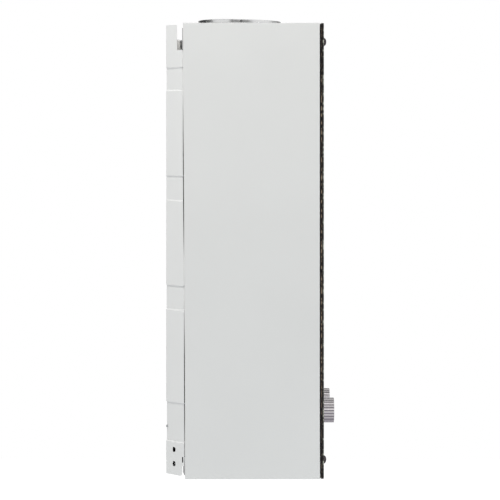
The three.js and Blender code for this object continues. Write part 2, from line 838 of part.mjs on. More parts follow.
function flueHood() {
  const bottom = shell_top - hood_lap;
  const outer = slab('top', roundedRect(-hood_half, hood_half, hood_rear, hood_front, hood_corner, 2),
    bottom, hood_top);
  const inner = slab('top', roundedRect(-hood_half + hood_sheet, hood_half - hood_sheet,
    hood_rear + hood_sheet, hood_front - hood_sheet, hood_corner - hood_sheet, 2),
  bottom - overrun, hood_top - hood_sheet);
  const relief = block(-hood_half - overrun, hood_half + overrun, hood_rear - overrun,
    shell_rear - seat_gap, bottom - overrun, shell_top + hood_relief_rise);
  const hole = drill(at(0, flue_out, hood_top - hood_sheet - overrun), at(0, flue_out, hood_top + overrun),
    flue_radius - flue_sheet, fine_sides);
  return cut(outer, inner, relief, hole);
}

// Bracket that ties the hood to the back plate: a channel open below

const bracket_sheet = 1;
const hood_bracket_drop = 25;

function hoodBracket() {
  const rear = plate_sheet + seat_gap;
  const front = hood_rear - seat_gap;
  const half = hood_half - hood_sheet;
  const whole = block(-half, half, rear, front, hood_top - hood_bracket_drop, hood_top);
  const hollow = block(-half + bracket_sheet, half - bracket_sheet, rear + bracket_sheet,
    front - bracket_sheet, hood_top - hood_bracket_drop - overrun, hood_top - bracket_sheet);
  return cut(whole, hollow);
}

add(flue, 'flue_hood', flueHood(), zinc_steel);
add(flue, 'hood_bracket', hoodBracket(), zinc_steel);

// Temperature cut-outs: small discs with two blades, drawn about the face they lie on

const disc_radius = 8;
const disc_depth = 6;
const disc_rim_width = 2;
const disc_rim_thickness = 1;
const disc_taper = 1;
const blade_width = 2.4;
const blade_length = 7;
const blade_across = 3.5;

function cutOut() {
  const disc = turned([
    [0, 0],
    [disc_radius + disc_rim_width, 0],
    [disc_radius + disc_rim_width, disc_rim_thickness],
    [disc_radius, disc_rim_thickness],
    [disc_radius - disc_taper, disc_depth],
    [0, disc_depth],
  ], at(0, 0, 0), towards_front, small_sides);
  const blades = [-blade_across, blade_across].map((x) => block(x - blade_width / 4, x + blade_width / 4,
    disc_depth - overrun, disc_depth + blade_length, -blade_width, blade_width));
  return join(disc, ...blades);
}

const overheat_rise = 10;
const overheat_height = pass_height + overheat_rise;
const spill_drop = 32.5;
const spill_height = hood_top - spill_drop;
const spill_across = 60;
add(exchanger, 'overheat_thermostat', cutOut(), black_plastic,
  at(0, shell_front + seat_gap, overheat_height));
add(flue, 'flue_switch', cutOut(), black_plastic, at(spill_across, hood_front + seat_gap, spill_height));

// Brackets of bent strip between the back plate and what hangs on it

const strap_half = 44;
const strap_foot = 14;
const strap_height = 14;
const upper_bracket_rise = 5;
const lower_bracket_rise = 4;
const burner_bracket_share = 0.4364;
const upper_bracket_height = pass_height + upper_bracket_rise;
const lower_bracket_height = shell_bottom + lower_bracket_rise;
const burner_bracket_height = case_height * burner_bracket_share;

// A hat-shaped strip that reaches a distance from the wall, drawn about its lower edge.
function strap(reach) {
  const rear = plate_sheet + seat_gap;
  const line = [
    [-strap_half, rear],
    [-strap_half + strap_foot, rear],
    [-strap_half + strap_foot, reach - bracket_sheet],
    [strap_half - strap_foot, reach - bracket_sheet],
    [strap_half - strap_foot, rear],
    [strap_half, rear],
  ];
  return slab('top', thicken(line, bracket_sheet), 0, strap_height);
}

add(exchanger, 'exchanger_upper_bracket', strap(shell_rear - seat_gap), zinc_steel,
  at(0, 0, upper_bracket_height));
add(exchanger, 'exchanger_lower_bracket', strap(shell_rear - seat_gap), zinc_steel,
  at(0, 0, lower_bracket_height));

// Burner frame: a ring of sheet with end plates and two rails that carry the bars

const frame_sheet = 1;
const frame_inset = 6;
const frame_half = shell_half - frame_inset;
const frame_rear = 38;
const frame_setback = 8;
const frame_front = shell_front - frame_setback;
const frame_ring_height = 36;
const frame_ring_bottom = frame_top - frame_ring_height;
const rail_thickness = 2;
const rail_width = 6;
const rail_inset = 21;
const rail_outs = [frame_rear + rail_inset, frame_front - rail_inset];

function burnerFrame() {
  const outer = block(-frame_half, frame_half, frame_rear, frame_front, frame_ring_bottom, frame_top);
  const inner_half = frame_half - frame_sheet;
  const inner = block(-inner_half, inner_half, frame_rear + frame_sheet, frame_front - frame_sheet,
    frame_ring_bottom - overrun, frame_top + overrun);
  const ends = [-1, 1].map((side) => block(side * frame_half, side * inner_half,
    frame_rear, frame_front, rail_height, frame_ring_bottom + overrun));
  const rails = rail_outs.map((out) => block(-inner_half - frame_sheet / 2, inner_half + frame_sheet / 2,
    out - rail_width / 2, out + rail_width / 2, rail_height, rail_height + rail_thickness));
  return join(cut(outer, inner), ...ends, ...rails);
}

add(burner, 'burner_frame', burnerFrame(), zinc_steel);
add(burner, 'burner_bracket', strap(frame_rear - seat_gap), zinc_steel, at(0, 0, burner_bracket_height));

// Burner bars: hairpin blades with a mouth at the lower front and slots along the top

const bar_count = 7;
const bar_pitch = 23;
const bar_thickness = 10;
const bar_rear = 42;
const bar_setback = 4;
const bar_mouth_setback = 2;
const bar_front = frame_front - bar_setback;
const bar_mouth_out = frame_front - bar_mouth_setback;
const bar_top_drop = 6;
const bar_top = frame_top - bar_top_drop;
const bar_bottom = rail_height + rail_thickness + running_gap;
const bar_mouth = 16;
const bar_slot = 10;
const bar_bend = 12;
const bar_mouth_radius = 4.4;
const bar_mouth_depth = 24;
const port_count = 4;
const port_width = 4;
const port_depth = 4;
const mouth_height = bar_bottom + bar_mouth / 2;

// One bar, drawn about the middle of its thickness.
function burnerBar() {
  const blade_bottom = bar_bottom + bar_mouth + bar_slot;
  const slot_end = bar_rear + bar_mouth + bar_slot / 2;
  const outline = [
    [bar_mouth_out, bar_bottom],
    ...arc([bar_rear + bar_bend, bar_bottom + bar_bend], bar_bend, 270, 180),
    [bar_rear, bar_top - bar_slot / 2],
    [bar_rear + bar_slot / 2, bar_top],
    [bar_front - bar_slot / 2, bar_top],
    [bar_front, bar_top - bar_slot / 2],
    [bar_front, blade_bottom],
    ...arc([slot_end, blade_bottom - bar_slot / 2], bar_slot / 2, 90, 270),
    [bar_mouth_out, bar_bottom + bar_mouth],
  ];
  const half = bar_thickness / 2;
  const blade = slab('side', outline, -half, half);
  const mouth = drill(at(0, bar_mouth_out - bar_mouth_depth, mouth_height),
    at(0, bar_mouth_out + overrun, mouth_height), bar_mouth_radius, pipe_sides);
  const pitch = (bar_front - bar_rear) / (port_count + 1);
  const ports = Array.from({ length: port_count }, (unused, i) => {
    const out = bar_rear + pitch * (i + 1);
    return block(-half - overrun, half + overrun, out - port_width / 2, out + port_width / 2,
      bar_top - port_depth, bar_top + overrun);
  });
  return cut(blade, mouth, ...ports);
}

const bar_places = Array.from({ length: bar_count }, (unused, i) => (i - (bar_count - 1) / 2) * bar_pitch);
bar_places.forEach((x, i) => add(burner, `burner_bar_${i + 1}`, burnerBar(), zinc_steel, at(x, 0, 0)));

// Gas manifold with a nozzle for each bar, and ears that meet the burner frame

const manifold_radius = 8;
const manifold_half = 84;
const manifold_gap = 16;
const manifold_out = frame_front + manifold_gap;
const nozzle_radius = 3.5;
const nozzle_tip_radius = 2;
const nozzle_tip_gap = 2.5;
const nozzle_shoulder_gap = 6;
const nozzle_tip = frame_front + nozzle_tip_gap;
const nozzle_shoulder = frame_front + nozzle_shoulder_gap;
const gas_feed_across = -70;
const ear_height = 5;

function gasManifold() {
  const body = bar(at(-manifold_half, manifold_out, mouth_height), at(manifold_half, manifold_out, mouth_height),
    manifold_radius);
  const nozzles = bar_places.map((x) => turned([
    [0, manifold_out - nozzle_tip],
    [nozzle_tip_radius, manifold_out - nozzle_tip],
    [nozzle_radius, manifold_out - nozzle_shoulder],
    [nozzle_radius, 0],
    [0, 0],
  ], at(x, manifold_out, mouth_height), towards_wall, pipe_sides));
  const ears = [-1, 1].map((side) => block(side * (manifold_half - ear_height), side * frame_half,
    frame_front + seat_gap, manifold_out, mouth_height - ear_height, mouth_height + ear_height));
  return join(body, ...nozzles, ...ears);
}

const gas_pipe_radius = 6;
const gas_pipe_bend = 8;
const gas_low_share = 0.32;
const gas_high_share = 0.53;
const valve_boss_radius = 9;

function gasRiser() {
  const bottom = valve_top + valve_boss_rise + seat_gap;
  const top = mouth_height - manifold_radius - seat_gap;
  return tube(route([
    at(gas_feed_across, valve_out, bottom),
    at(gas_feed_across, valve_out, bottom + (top - bottom) * gas_low_share),
    at(gas_feed_across, manifold_out, bottom + (top - bottom) * gas_high_share),
    at(gas_feed_across, manifold_out, top),
  ], gas_pipe_bend), gas_pipe_radius);
}

add(burner, 'gas_manifold', gasManifold(), cast_aluminium);
add(burner, 'gas_riser', gasRiser(), zinc_steel);

// Spark electrode and flame sensor: ceramics through the shell's front with wire tips

const ceramic_outside = 16;
const ceramic_inside = 12;
const ceramic_shoulder = 2;
const wire_radius = 1.2;
const wire_reach = 24;
const spark_drop = 12;

// Drawn about the point where the ceramic meets the shell; the wire's end drops by a given length.
function electrode(drop) {
  const ceramic = turned([
    [0, -ceramic_inside],
    [ceramic_radius, -ceramic_inside],
    [ceramic_radius, 0],
    [ceramic_radius + ceramic_shoulder, 0],
    [ceramic_radius + ceramic_shoulder, ceramic_shoulder],
    [ceramic_radius, ceramic_shoulder * 2],
    [ceramic_radius, ceramic_outside],
    [0, ceramic_outside],
  ], at(0, 0, 0), towards_front, small_sides);
  const wire = tube(route([
    at(0, ceramic_shoulder, 0),
    at(0, -wire_reach, 0),
    at(0, -wire_reach - drop / 2, -drop),
  ], wire_radius * 2, 2), wire_radius);
  return join(ceramic, wire);
}

const electrode_out = shell_front + seat_gap;
add(burner, 'spark_electrode', electrode(spark_drop), white_ceramic,
  at(-electrode_across, electrode_out, electrode_height));
add(burner, 'flame_sensor', electrode(spark_drop / 2), white_ceramic,
  at(electrode_across, electrode_out, electrode_height));

// Bottom bracket: a hat-shaped shelf that holds the pipe fittings and takes the cover screws

const shelf_sheet = 1.2;
const shelf_height = 24;
const shelf_front = 66;
const shelf_inset = 39;
const shelf_half = case_half - shelf_inset;
const shelf_foot = 24;
const shelf_leg_setback = 3.5;
const shelf_leg_rear = wall_stand_off + shelf_leg_setback;
const thread_radius = 10.4;
const gas_across = -knob_across;
const cold_across = knob_across;
const fitting_places = [gas_across, outlet_across, cold_across];

function fittingBracket() {
  const foot = cover_sheet + seat_gap;
  const line = [
    [-shelf_half - shelf_foot, foot],
    [-shelf_half, foot],
    [-shelf_half, shelf_height - shelf_sheet],
    [shelf_half, shelf_height - shelf_sheet],
    [shelf_half, foot],
    [shelf_half + shelf_foot, foot],
  ];
  const shelf = slab('front', thicken(line, shelf_sheet), plate_sheet + seat_gap, shelf_front);
  const holes = fitting_places.map((x) => drill(at(x, fitting_out, shelf_height - shelf_sheet - overrun),
    at(x, fitting_out, shelf_height + overrun), thread_radius + running_gap, round_sides));
  const screws = [-cover_screw_across, cover_screw_across].map((x) => drill(at(x, cover_screw_out, 0),
    at(x, cover_screw_out, foot + shelf_sheet + overrun), cover_screw_shank + running_gap, pipe_sides));
  const outside = shelf_half + shelf_foot + overrun;
  const clear_height = shelf_height - shelf_sheet * 4;
  const clear = [[-outside, -shelf_half + shelf_sheet * 2], [shelf_half - shelf_sheet * 2, outside]].map(
    ([left, right]) => block(left, right, 0, shelf_leg_rear, 0, clear_height));
  return cut(shelf, ...holes, ...screws, ...clear);
}

add(valves, 'fitting_bracket', fittingBracket(), zinc_steel);

// Pipe fittings: a threaded nipple below the shelf, a hexagon on it and a body above

const nipple_end = -8;
const nipple_bore = 7;
const nipple_bore_depth = 20;
const hex_radius = 17;
const hex_height = 9;
const body_radius = 11;
const knuckle_radius = 12;
const elbow_height = 95;
const elbow_flange = 17;
const elbow_flange_thickness = 4;
const valve_rear = 75;

// The part of a fitting that all three share, up to a height above the cover's lower edge.
function fittingStem(top) {
  const hex_bottom = shelf_height + seat_gap;
  const nipple = bar(at(0, 0, nipple_end), at(0, 0, hex_bottom + overrun), thread_radius);
  const hexagon = bar(at(0, 0, hex_bottom), at(0, 0, hex_bottom + hex_height), hex_radius, 6);
  const body = bar(at(0, 0, hex_bottom), at(0, 0, top), body_radius);
  return join(nipple, hexagon, body);
}

function nippleBore() {
  return drill(at(0, 0, nipple_end - overrun), at(0, 0, nipple_end + nipple_bore_depth), nipple_bore);
}

function outletFitting() {
  return cut(fittingStem(outlet_top), nippleBore());
}

function inletElbow() {
  const reach = valve_rear - fitting_out - seat_gap;
  const flange_start = reach - elbow_flange_thickness;
  const leg = bar(at(0, 0, elbow_height), at(0, reach, elbow_height), body_radius);
  const flange = bar(at(0, flange_start, elbow_height), at(0, reach, elbow_height), elbow_flange);
  const knuckle = toSolid(new THREE.SphereGeometry(knuckle_radius, small_sides, pipe_sides)
    .translate(0, 0, elbow_height));
  return cut(join(fittingStem(elbow_height), leg, flange, knuckle), nippleBore());
}

add(valves, 'gas_inlet_elbow', inletElbow(), cast_aluminium, at(gas_across, fitting_out, 0));
add(valves, 'cold_inlet_elbow', inletElbow(), brass, at(cold_across, fitting_out, 0));
add(valves, 'hot_outlet_fitting', outletFitting(), brass, at(outlet_across, fitting_out, 0));

// Lock nuts under the shelf, drawn about the shelf's underside

const nut_height = 8;

function lockNut() {
  const nut = bar(at(0, 0, -nut_height), at(0, 0, 0), hex_radius, 6);
  return cut(nut, drill(at(0, 0, -nut_height - overrun), at(0, 0, overrun), thread_radius + running_gap));
}

const nut_place = shelf_height - shelf_sheet - seat_gap;
add(valves, 'gas_lock_nut', lockNut(), brass, at(gas_across, fitting_out, nut_place));
add(valves, 'hot_lock_nut', lockNut(), brass, at(outlet_across, fitting_out, nut_place));
add(valves, 'cold_lock_nut', lockNut(), brass, at(cold_across, fitting_out, nut_place));

// Gas valve: cast body with bosses for its spindle, push rod, solenoid and outlet

const valve_front = 122;
const valve_bottom = 68;
const valve_corner = 7;
const rod_radius = 3;
const rod_travel = 5;
const gas_body_left = -118;
const gas_body_right = -52;
const spindle_boss_front = 140;
const spindle_bore_rear = 108;
const gland_radius = 5.8;
const gland_left = -44;
const gland_depth = 20;
const switch_ear_rear = 86;
const switch_ear_thickness = 2;
const switch_ear_right = -20;
const switch_ear_rise = 3;
const switch_ear_height = 25;
const switch_ear_bottom = rod_height + switch_ear_rise;
const switch_ear_top = switch_ear_bottom + switch_ear_height;
const lever_pivot_across = -44;
const lever_pivot_rise = 8.5;
const lever_pivot_height = rod_height + lever_pivot_rise;
const lever_pin_radius = 1;
const body_rib = 2;

function spindleBoss(x) {
  return bar(at(x, valve_front - overrun, knob_height), at(x, spindle_boss_front, knob_height),
    valve_boss_radius);
}

function spindleBore(x) {
  return drill(at(x, spindle_bore_rear, knob_height), at(x, spindle_boss_front + overrun, knob_height),
    spindle_radius + running_gap);
}

function gasValveBody() {
  const casting = slab('front', roundedRect(gas_body_left, gas_body_right, valve_bottom, valve_top,
    valve_corner), valve_rear, valve_front);
  const outlet = bar(at(gas_feed_across, valve_out, valve_top - overrun),
    at(gas_feed_across, valve_out, valve_top + valve_boss_rise), valve_boss_radius);
  const gland = bar(at(gas_body_right - overrun, valve_out, rod_height), at(gland_left, valve_out, rod_height),
    gland_radius);
  const rib = block(gas_body_left - body_rib, gas_body_right + body_rib, valve_out - body_rib,
    valve_out + body_rib, valve_bottom + valve_corner, valve_top - valve_corner);
  const ear = block(gas_body_right - overrun, switch_ear_right, switch_ear_rear,
    switch_ear_rear + switch_ear_thickness, switch_ear_bottom, switch_ear_top);
  const pin_hole = drill(at(lever_pivot_across, switch_ear_rear - overrun, lever_pivot_height),
    at(lever_pivot_across, switch_ear_rear + switch_ear_thickness + overrun, lever_pivot_height),
    lever_pin_radius + running_gap, pipe_sides);
  const rod_bore = drill(at(gland_left + overrun, valve_out, rod_height),
    at(gland_left - gland_depth, valve_out, rod_height), rod_radius + running_gap);
  return cut(join(casting, spindleBoss(-knob_across), outlet, gland, rib, ear),
    spindleBore(-knob_across), rod_bore, pin_hole);
}

add(valves, 'gas_valve_body', gasValveBody(), cast_aluminium);

// Solenoid on top of the gas valve, drawn about its seat

const solenoid_across = -100;
const solenoid_radius = 11.5;
const solenoid_height = 30;
const solenoid_rim_width = 2;
const solenoid_rim_thickness = 2;
const solenoid_crown = 3;

function gasSolenoid() {
  const can = turned([
    [0, 0],
    [solenoid_radius + solenoid_rim_width, 0],
    [solenoid_radius + solenoid_rim_width, solenoid_rim_thickness],
    [solenoid_radius, solenoid_rim_thickness],
    [solenoid_radius, solenoid_height],
    [solenoid_radius / 2, solenoid_height + solenoid_crown],
    [0, solenoid_height + solenoid_crown],
  ], at(0, 0, 0), upwards, round_sides);
  const terminals = block(-blade_across, blade_across, solenoid_radius - overrun,
    solenoid_radius + blade_length, solenoid_height / 2, solenoid_height / 2 + blade_width);
  return join(can, terminals);
}

add(valves, 'gas_solenoid', gasSolenoid(), black_plastic,
  at(solenoid_across, valve_out, valve_top + seat_gap));

// Water valve: brass body with a round flange for the diaphragm and a boss for the drain

const water_body_left = 46;
const water_body_right = 114;
const chamber_radius = 36;
const chamber_flange_thickness = 6;
const drain_across = 98;
const drain_boss_radius = 7;
const drain_boss_bottom = 60;
const drain_stem_radius = 4;

function waterValveBody() {
  const casting = slab('front', roundedRect(water_body_left, water_body_right, valve_bottom, valve_top,
    valve_corner), valve_rear, valve_front);
  const flange = bar(at(water_body_left - chamber_flange_thickness, valve_out, rod_height),
    at(water_body_left + overrun, valve_out, rod_height), chamber_radius);
  const outlet = bar(at(coil_half, valve_out, valve_top - overrun),
    at(coil_half, valve_out, valve_top + valve_boss_rise), valve_boss_radius);
  const drain = bar(at(drain_across, valve_out, drain_boss_bottom),
    at(drain_across, valve_out, valve_bottom + overrun), drain_boss_radius);
  const drain_bore = drill(at(drain_across, valve_out, drain_boss_bottom - overrun),
    at(drain_across, valve_out, valve_bottom + drain_stem_radius), drain_stem_radius + running_gap);
  return cut(join(casting, flange, spindleBoss(knob_across), outlet, drain),
    spindleBore(knob_across), drain_bore);
}

add(valves, 'water_valve_body', waterValveBody(), brass);

// Diaphragm, its cover and the push rod it drives, all on the rod's axis

const diaphragm_thickness = 1;
const cover_flange_thickness = 5;
const dish_radius = 30;
const dish_depth = 14;
const dish_wall = 4;
const dish_boss_radius = 9;
const dish_boss_length = 8;
const rod_plate_radius = 22;
const rod_plate_thickness = 2;
const rod_end_play = 2;
const lever_tip = -6;
const cone_start = -5.5;
const cone_length = 5;
const cone_small = 4;
const cone_large = 7.5;
const diaphragm_right = water_body_left - chamber_flange_thickness - seat_gap;
const dish_right = diaphragm_right - diaphragm_thickness - seat_gap;
const rod_right = diaphragm_right - diaphragm_thickness - seat_gap;
const rod_left = gland_left - gland_depth + rod_travel + rod_end_play;

function alongRod(profile, sides) {
  return turned(profile, at(0, valve_out, rod_height), towards_right, sides);
}

function diaphragm() {
  return alongRod([
    [0, diaphragm_right - diaphragm_thickness],
    [chamber_radius - overrun, diaphragm_right - diaphragm_thickness],
    [chamber_radius - overrun, diaphragm_right],
    [0, diaphragm_right],
  ], round_sides);
}

function diaphragmCover() {
  const flange_left = dish_right - cover_flange_thickness;
  const dish_left = flange_left - dish_depth + dish_wall;
  const boss_left = dish_left - dish_boss_length;
  const bore = rod_radius + running_gap;
  return alongRod([
    [bore, boss_left],
    [dish_boss_radius, boss_left],
    [dish_boss_radius, dish_left],
    [dish_radius - dish_wall, dish_left],
    [dish_radius, dish_left + dish_wall],
    [dish_radius, flange_left],
    [chamber_radius, flange_left],
    [chamber_radius, dish_right],
    [dish_radius - dish_wall, dish_right],
    [dish_radius - dish_wall, dish_left + dish_wall],
    [bore, dish_left + dish_wall],
  ], round_sides);
}

function pushRod() {
  return alongRod([
    [0, rod_left],
    [rod_radius, rod_left],
    [rod_radius, cone_start],
    [cone_small, cone_start],
    [cone_large, cone_start + cone_length],
    [rod_radius, cone_start + cone_length],
    [rod_radius, rod_right - rod_plate_thickness],
    [rod_plate_radius, rod_right - rod_plate_thickness],
    [rod_plate_radius, rod_right],
    [0, rod_right],
  ], round_sides);
}

add(valves, 'diaphragm', diaphragm(), black_rubber);
add(valves, 'diaphragm_cover', diaphragmCover(), brass);
add(valves, 'push_rod', pushRod(), screw_steel);

// Microswitch on the valve's ear and the lever that the rod's cone lifts

const switch_left = -46;
const switch_right = -24;
const switch_rise = 12;
const switch_height = 13;
const switch_bottom = rod_height + switch_rise;
const switch_top = switch_bottom + switch_height;
const switch_depth = 9;
const switch_corner = 1.5;
const plunger_across = -28;
const plunger_radius = 1.2;
const plunger_drop = 2.2;
const lever_width = 8;
const lever_thickness = 1;
const lever_eye_radius = 2.2;
const lever_tip_rise = 4.9;
const lever_tip_height = rod_height + lever_tip_rise;

function microswitch() {
  const rear = switch_ear_rear + switch_ear_thickness + seat_gap;
  const body = slab('front', roundedRect(switch_left, switch_right, switch_bottom, switch_top,
    switch_corner, 1), rear, rear + switch_depth);
  const plunger = bar(at(plunger_across, valve_out - lever_width / 4, switch_bottom - plunger_drop),
    at(plunger_across, valve_out - lever_width / 4, switch_bottom + overrun), plunger_radius, pipe_sides);
  return join(body, plunger);
}

// Drawn about its pivot.
function microswitchLever() {
  const reach = lever_tip - lever_pivot_across;
  const fall = lever_tip_height - lever_pivot_height;
  const half = lever_width / 2;
  const strip = slab('front', [
    [0, -lever_thickness / 2],
    [reach, fall - lever_thickness / 2],
    [reach, fall + lever_thickness / 2],
    [0, lever_thickness / 2],
  ], -half, half);
  const eye = bar(at(0, -half, 0), at(0, half, 0), lever_eye_radius, small_sides);
  const pin_end = switch_ear_rear - valve_out;
  const pin = bar(at(0, pin_end, 0), at(0, 0, 0), lever_pin_radius, pipe_sides);
  return join(strip, eye, pin);
}

add(electrics, 'microswitch', microswitch(), black_plastic);
add(electrics, 'microswitch_lever', microswitchLever(), screw_steel,
  at(lever_pivot_across, valve_out, lever_pivot_height));

// Spindles: from the valves' bosses into the knobs, drawn about the knob's rear face

function spindle() {
  const rear = spindle_bore_rear + seat_gap - knob_base;
  const front = knob_bore_depth - seat_gap;
  return bar(at(0, rear, 0), at(0, front, 0), spindle_radius, small_sides);
}

add(valves, 'gas_spindle', spindle(), screw_steel, at(-knob_across, knob_base, knob_height));
add(valves, 'water_spindle', spindle(), screw_steel, at(knob_across, knob_base, knob_height));

// Drain handle under the water valve, drawn about the boss's lower face

const drain_disc_radius = 10;
const drain_disc_height = 7;
const drain_wing_width = 18;
const drain_wing_drop = 12;
const drain_wing_thickness = 4;

function drainHandle() {
  const stem_top = valve_bottom + drain_stem_radius - seat_gap - drain_boss_bottom;
  const stem = turned([
    [0, stem_top],
    [drain_stem_radius, stem_top],
    [drain_stem_radius, -seat_gap],
    [drain_disc_radius, -seat_gap],
    [drain_disc_radius, -drain_disc_height],
    [0, -drain_disc_height],
  ], at(0, 0, 0), upwards, small_sides);
  const wing = slab('front', roundedRect(-drain_wing_width / 2, drain_wing_width / 2,
    -drain_disc_height - drain_wing_drop, -drain_disc_height + overrun, drain_wing_thickness, 2),
  -drain_wing_thickness / 2, drain_wing_thickness / 2);
  return join(stem, wing);
}

add(valves, 'drain_handle', drainHandle(), red_plastic, at(drain_across, valve_out, drain_boss_bottom));

// Ignition control box on the back plate

const control_inset = 29;
const control_width = 36;
const control_lift_share = 0.2036;
const control_height_share = 0.1527;
const control_right = case_half - control_inset;
const control_left = control_right - control_width;
const control_bottom = case_height * control_lift_share;
const control_height = case_height * control_height_share;
const control_depth = 48;
const control_lid_rim = 2;

function controlBox() {
  const rear = plate_sheet + seat_gap;
  const box = slab('front', roundedRect(control_left, control_right, control_bottom,
    control_bottom + control_height, control_lid_rim * 2, 2), rear, rear + control_depth);
  const rim = slab('front', roundedRect(control_left - control_lid_rim, control_right + control_lid_rim,
    control_bottom - control_lid_rim, control_bottom + control_height + control_lid_rim,
    control_lid_rim * 3, 2), rear + control_depth * 0.7, rear + control_depth * 0.7 + control_lid_rim);
  const socket = block(control_left + control_lid_rim * 3, control_right - control_lid_rim * 3,
    rear + control_depth * 0.3, rear + control_depth * 0.6,
    control_bottom - control_lid_rim * 3, control_bottom + overrun);
  return join(box, rim, socket);
}

add(electrics, 'control_box', controlBox(), grey_plastic);

// Battery box, its drop-down lid and two cells

const cell_radius = 16.5;
const cell_length = 59;
const cell_cap_radius = 4.5;
const cell_cap_length = 1.8;
const cell_bead = 1;
const cell_pitch = 33.6;
const box_wall = 1.6;
const box_clearance = 0.4;
const box_bottom = 3.7;
const box_top_wall = 1.6;
const lid_thickness = 1.8;
const lid_gap = 0.5;
const lid_knuckle_radius = 1.6;
const lid_pin_radius = 1;
const lid_pivot_offset = 2;
const lid_setback = 3;
const lid_tongue_half = 26;
const ear_thickness = 3;
const ear_reach = 4;
const box_tab_reach = 14;
const box_tab_thickness = 1.6;
const box_half = (cell_length + cell_cap_length) / 2 + box_clearance + box_wall;
const box_rear = shelf_front + seat_gap;
const box_front = box_rear + 2 * box_wall + cell_pitch + 2 * (cell_radius + box_clearance);
const cell_height = box_bottom + box_clearance + cell_radius;
const box_top = cell_height + cell_radius + box_clearance + box_top_wall;
const lid_pivot_out = box_front + lid_pivot_offset;
const lid_pivot_height = box_bottom - lid_gap;
const ear_inner = lid_tongue_half + running_gap;

function batteryBox() {
  const outer = slab('front', roundedRect(-box_half, box_half, box_bottom, box_top, box_wall, 2),
    box_rear, box_front);
  const inner = block(-box_half + box_wall, box_half - box_wall, box_rear + box_wall,
    box_front - box_wall, box_bottom - overrun, box_top - box_top_wall);
  const tabs = [-1, 1].map((side) => block(side * (hex_radius + box_wall), side * box_half,
    box_rear - box_tab_reach, box_rear + box_wall,
    shelf_height + seat_gap, shelf_height + seat_gap + box_tab_thickness));
  const ears = [-1, 1].map((side) => block(side * ear_inner, side * (ear_inner + ear_thickness),
    box_front - box_wall / 2, lid_pivot_out + lid_knuckle_radius,
    lid_pivot_height - lid_knuckle_radius, lid_pivot_height + ear_reach));
  const pin_reach = ear_inner + ear_thickness + overrun;
  const pin_hole = drill(at(-pin_reach, lid_pivot_out, lid_pivot_height),
    at(pin_reach, lid_pivot_out, lid_pivot_height), lid_pin_radius + running_gap, pipe_sides);
  return cut(join(cut(outer, inner), ...tabs, ...ears), pin_hole);
}

// Drawn about its hinge pin.
function batteryLid() {
  const rear = box_rear - lid_pivot_out + seat_gap;
  const front = -lid_pivot_offset - lid_setback;
  const plate = slab('top', roundedRect(-box_half + seat_gap, box_half - seat_gap, rear, front,
    box_wall, 2), -lid_thickness, 0);
  const tongue = block(-lid_tongue_half, lid_tongue_half, front - overrun, 0, -lid_thickness, 0);
  const knuckle = bar(at(-lid_tongue_half, 0, 0), at(lid_tongue_half, 0, 0), lid_knuckle_radius, small_sides);
  const pin_end = ear_inner + ear_thickness;
  const pin = bar(at(-pin_end, 0, 0), at(pin_end, 0, 0), lid_pin_radius, pipe_sides);
  const finger_grip = block(-lid_tongue_half / 2, lid_tongue_half / 2, rear + lid_setback,
    rear + lid_setback + lid_thickness, -2 * lid_thickness, -lid_thickness / 2);
  return join(plate, tongue, knuckle, pin, finger_grip);
}

// A cell lying across, drawn about its middle, with its cap towards +X.
function batteryCell() {
  const end = cell_length / 2;
  return turned([
    [0, -end],
    [cell_radius - cell_bead, -end],
    [cell_radius, -end + cell_bead],
    [cell_radius, end - cell_bead],
    [cell_radius - cell_bead, end],
    [cell_cap_radius, end],
    [cell_cap_radius, end + cell_cap_length],
    [0, end + cell_cap_length],
  ], at(-cell_cap_length / 2, 0, 0), towards_right, round_sides);
}

add(electrics, 'battery_box', batteryBox(), black_plastic);
add(electrics, 'battery_lid', batteryLid(), black_plastic, at(0, lid_pivot_out, lid_pivot_height));
const first_cell_out = box_rear + box_wall + box_clearance + cell_radius;
add(electrics, 'battery_cell_1', batteryCell(), cell_jacket, at(0, first_cell_out, cell_height));
const second_cell = add(electrics, 'battery_cell_2', batteryCell(), cell_jacket,
  at(0, first_cell_out + cell_pitch, cell_height));
second_cell.rotation.z = Math.PI;

export default unit;
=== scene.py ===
"""Looks of a wall-hung water heater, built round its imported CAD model, in metres."""
import math
import bpy
import bmesh
from mathutils import Matrix, Vector


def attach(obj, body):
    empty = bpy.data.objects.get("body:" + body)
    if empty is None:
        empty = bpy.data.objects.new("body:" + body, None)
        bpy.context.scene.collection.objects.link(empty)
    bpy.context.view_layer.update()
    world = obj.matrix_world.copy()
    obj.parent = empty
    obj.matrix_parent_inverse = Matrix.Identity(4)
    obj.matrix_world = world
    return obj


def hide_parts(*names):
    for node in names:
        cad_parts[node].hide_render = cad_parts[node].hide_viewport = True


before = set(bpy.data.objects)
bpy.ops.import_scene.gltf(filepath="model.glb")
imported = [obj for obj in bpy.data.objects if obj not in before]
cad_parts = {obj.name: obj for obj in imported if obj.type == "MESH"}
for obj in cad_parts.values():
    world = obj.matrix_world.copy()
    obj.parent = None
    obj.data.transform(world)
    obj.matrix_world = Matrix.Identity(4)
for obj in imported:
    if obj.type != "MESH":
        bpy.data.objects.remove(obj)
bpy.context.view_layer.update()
scene = bpy.context.scene
MM = 0.001

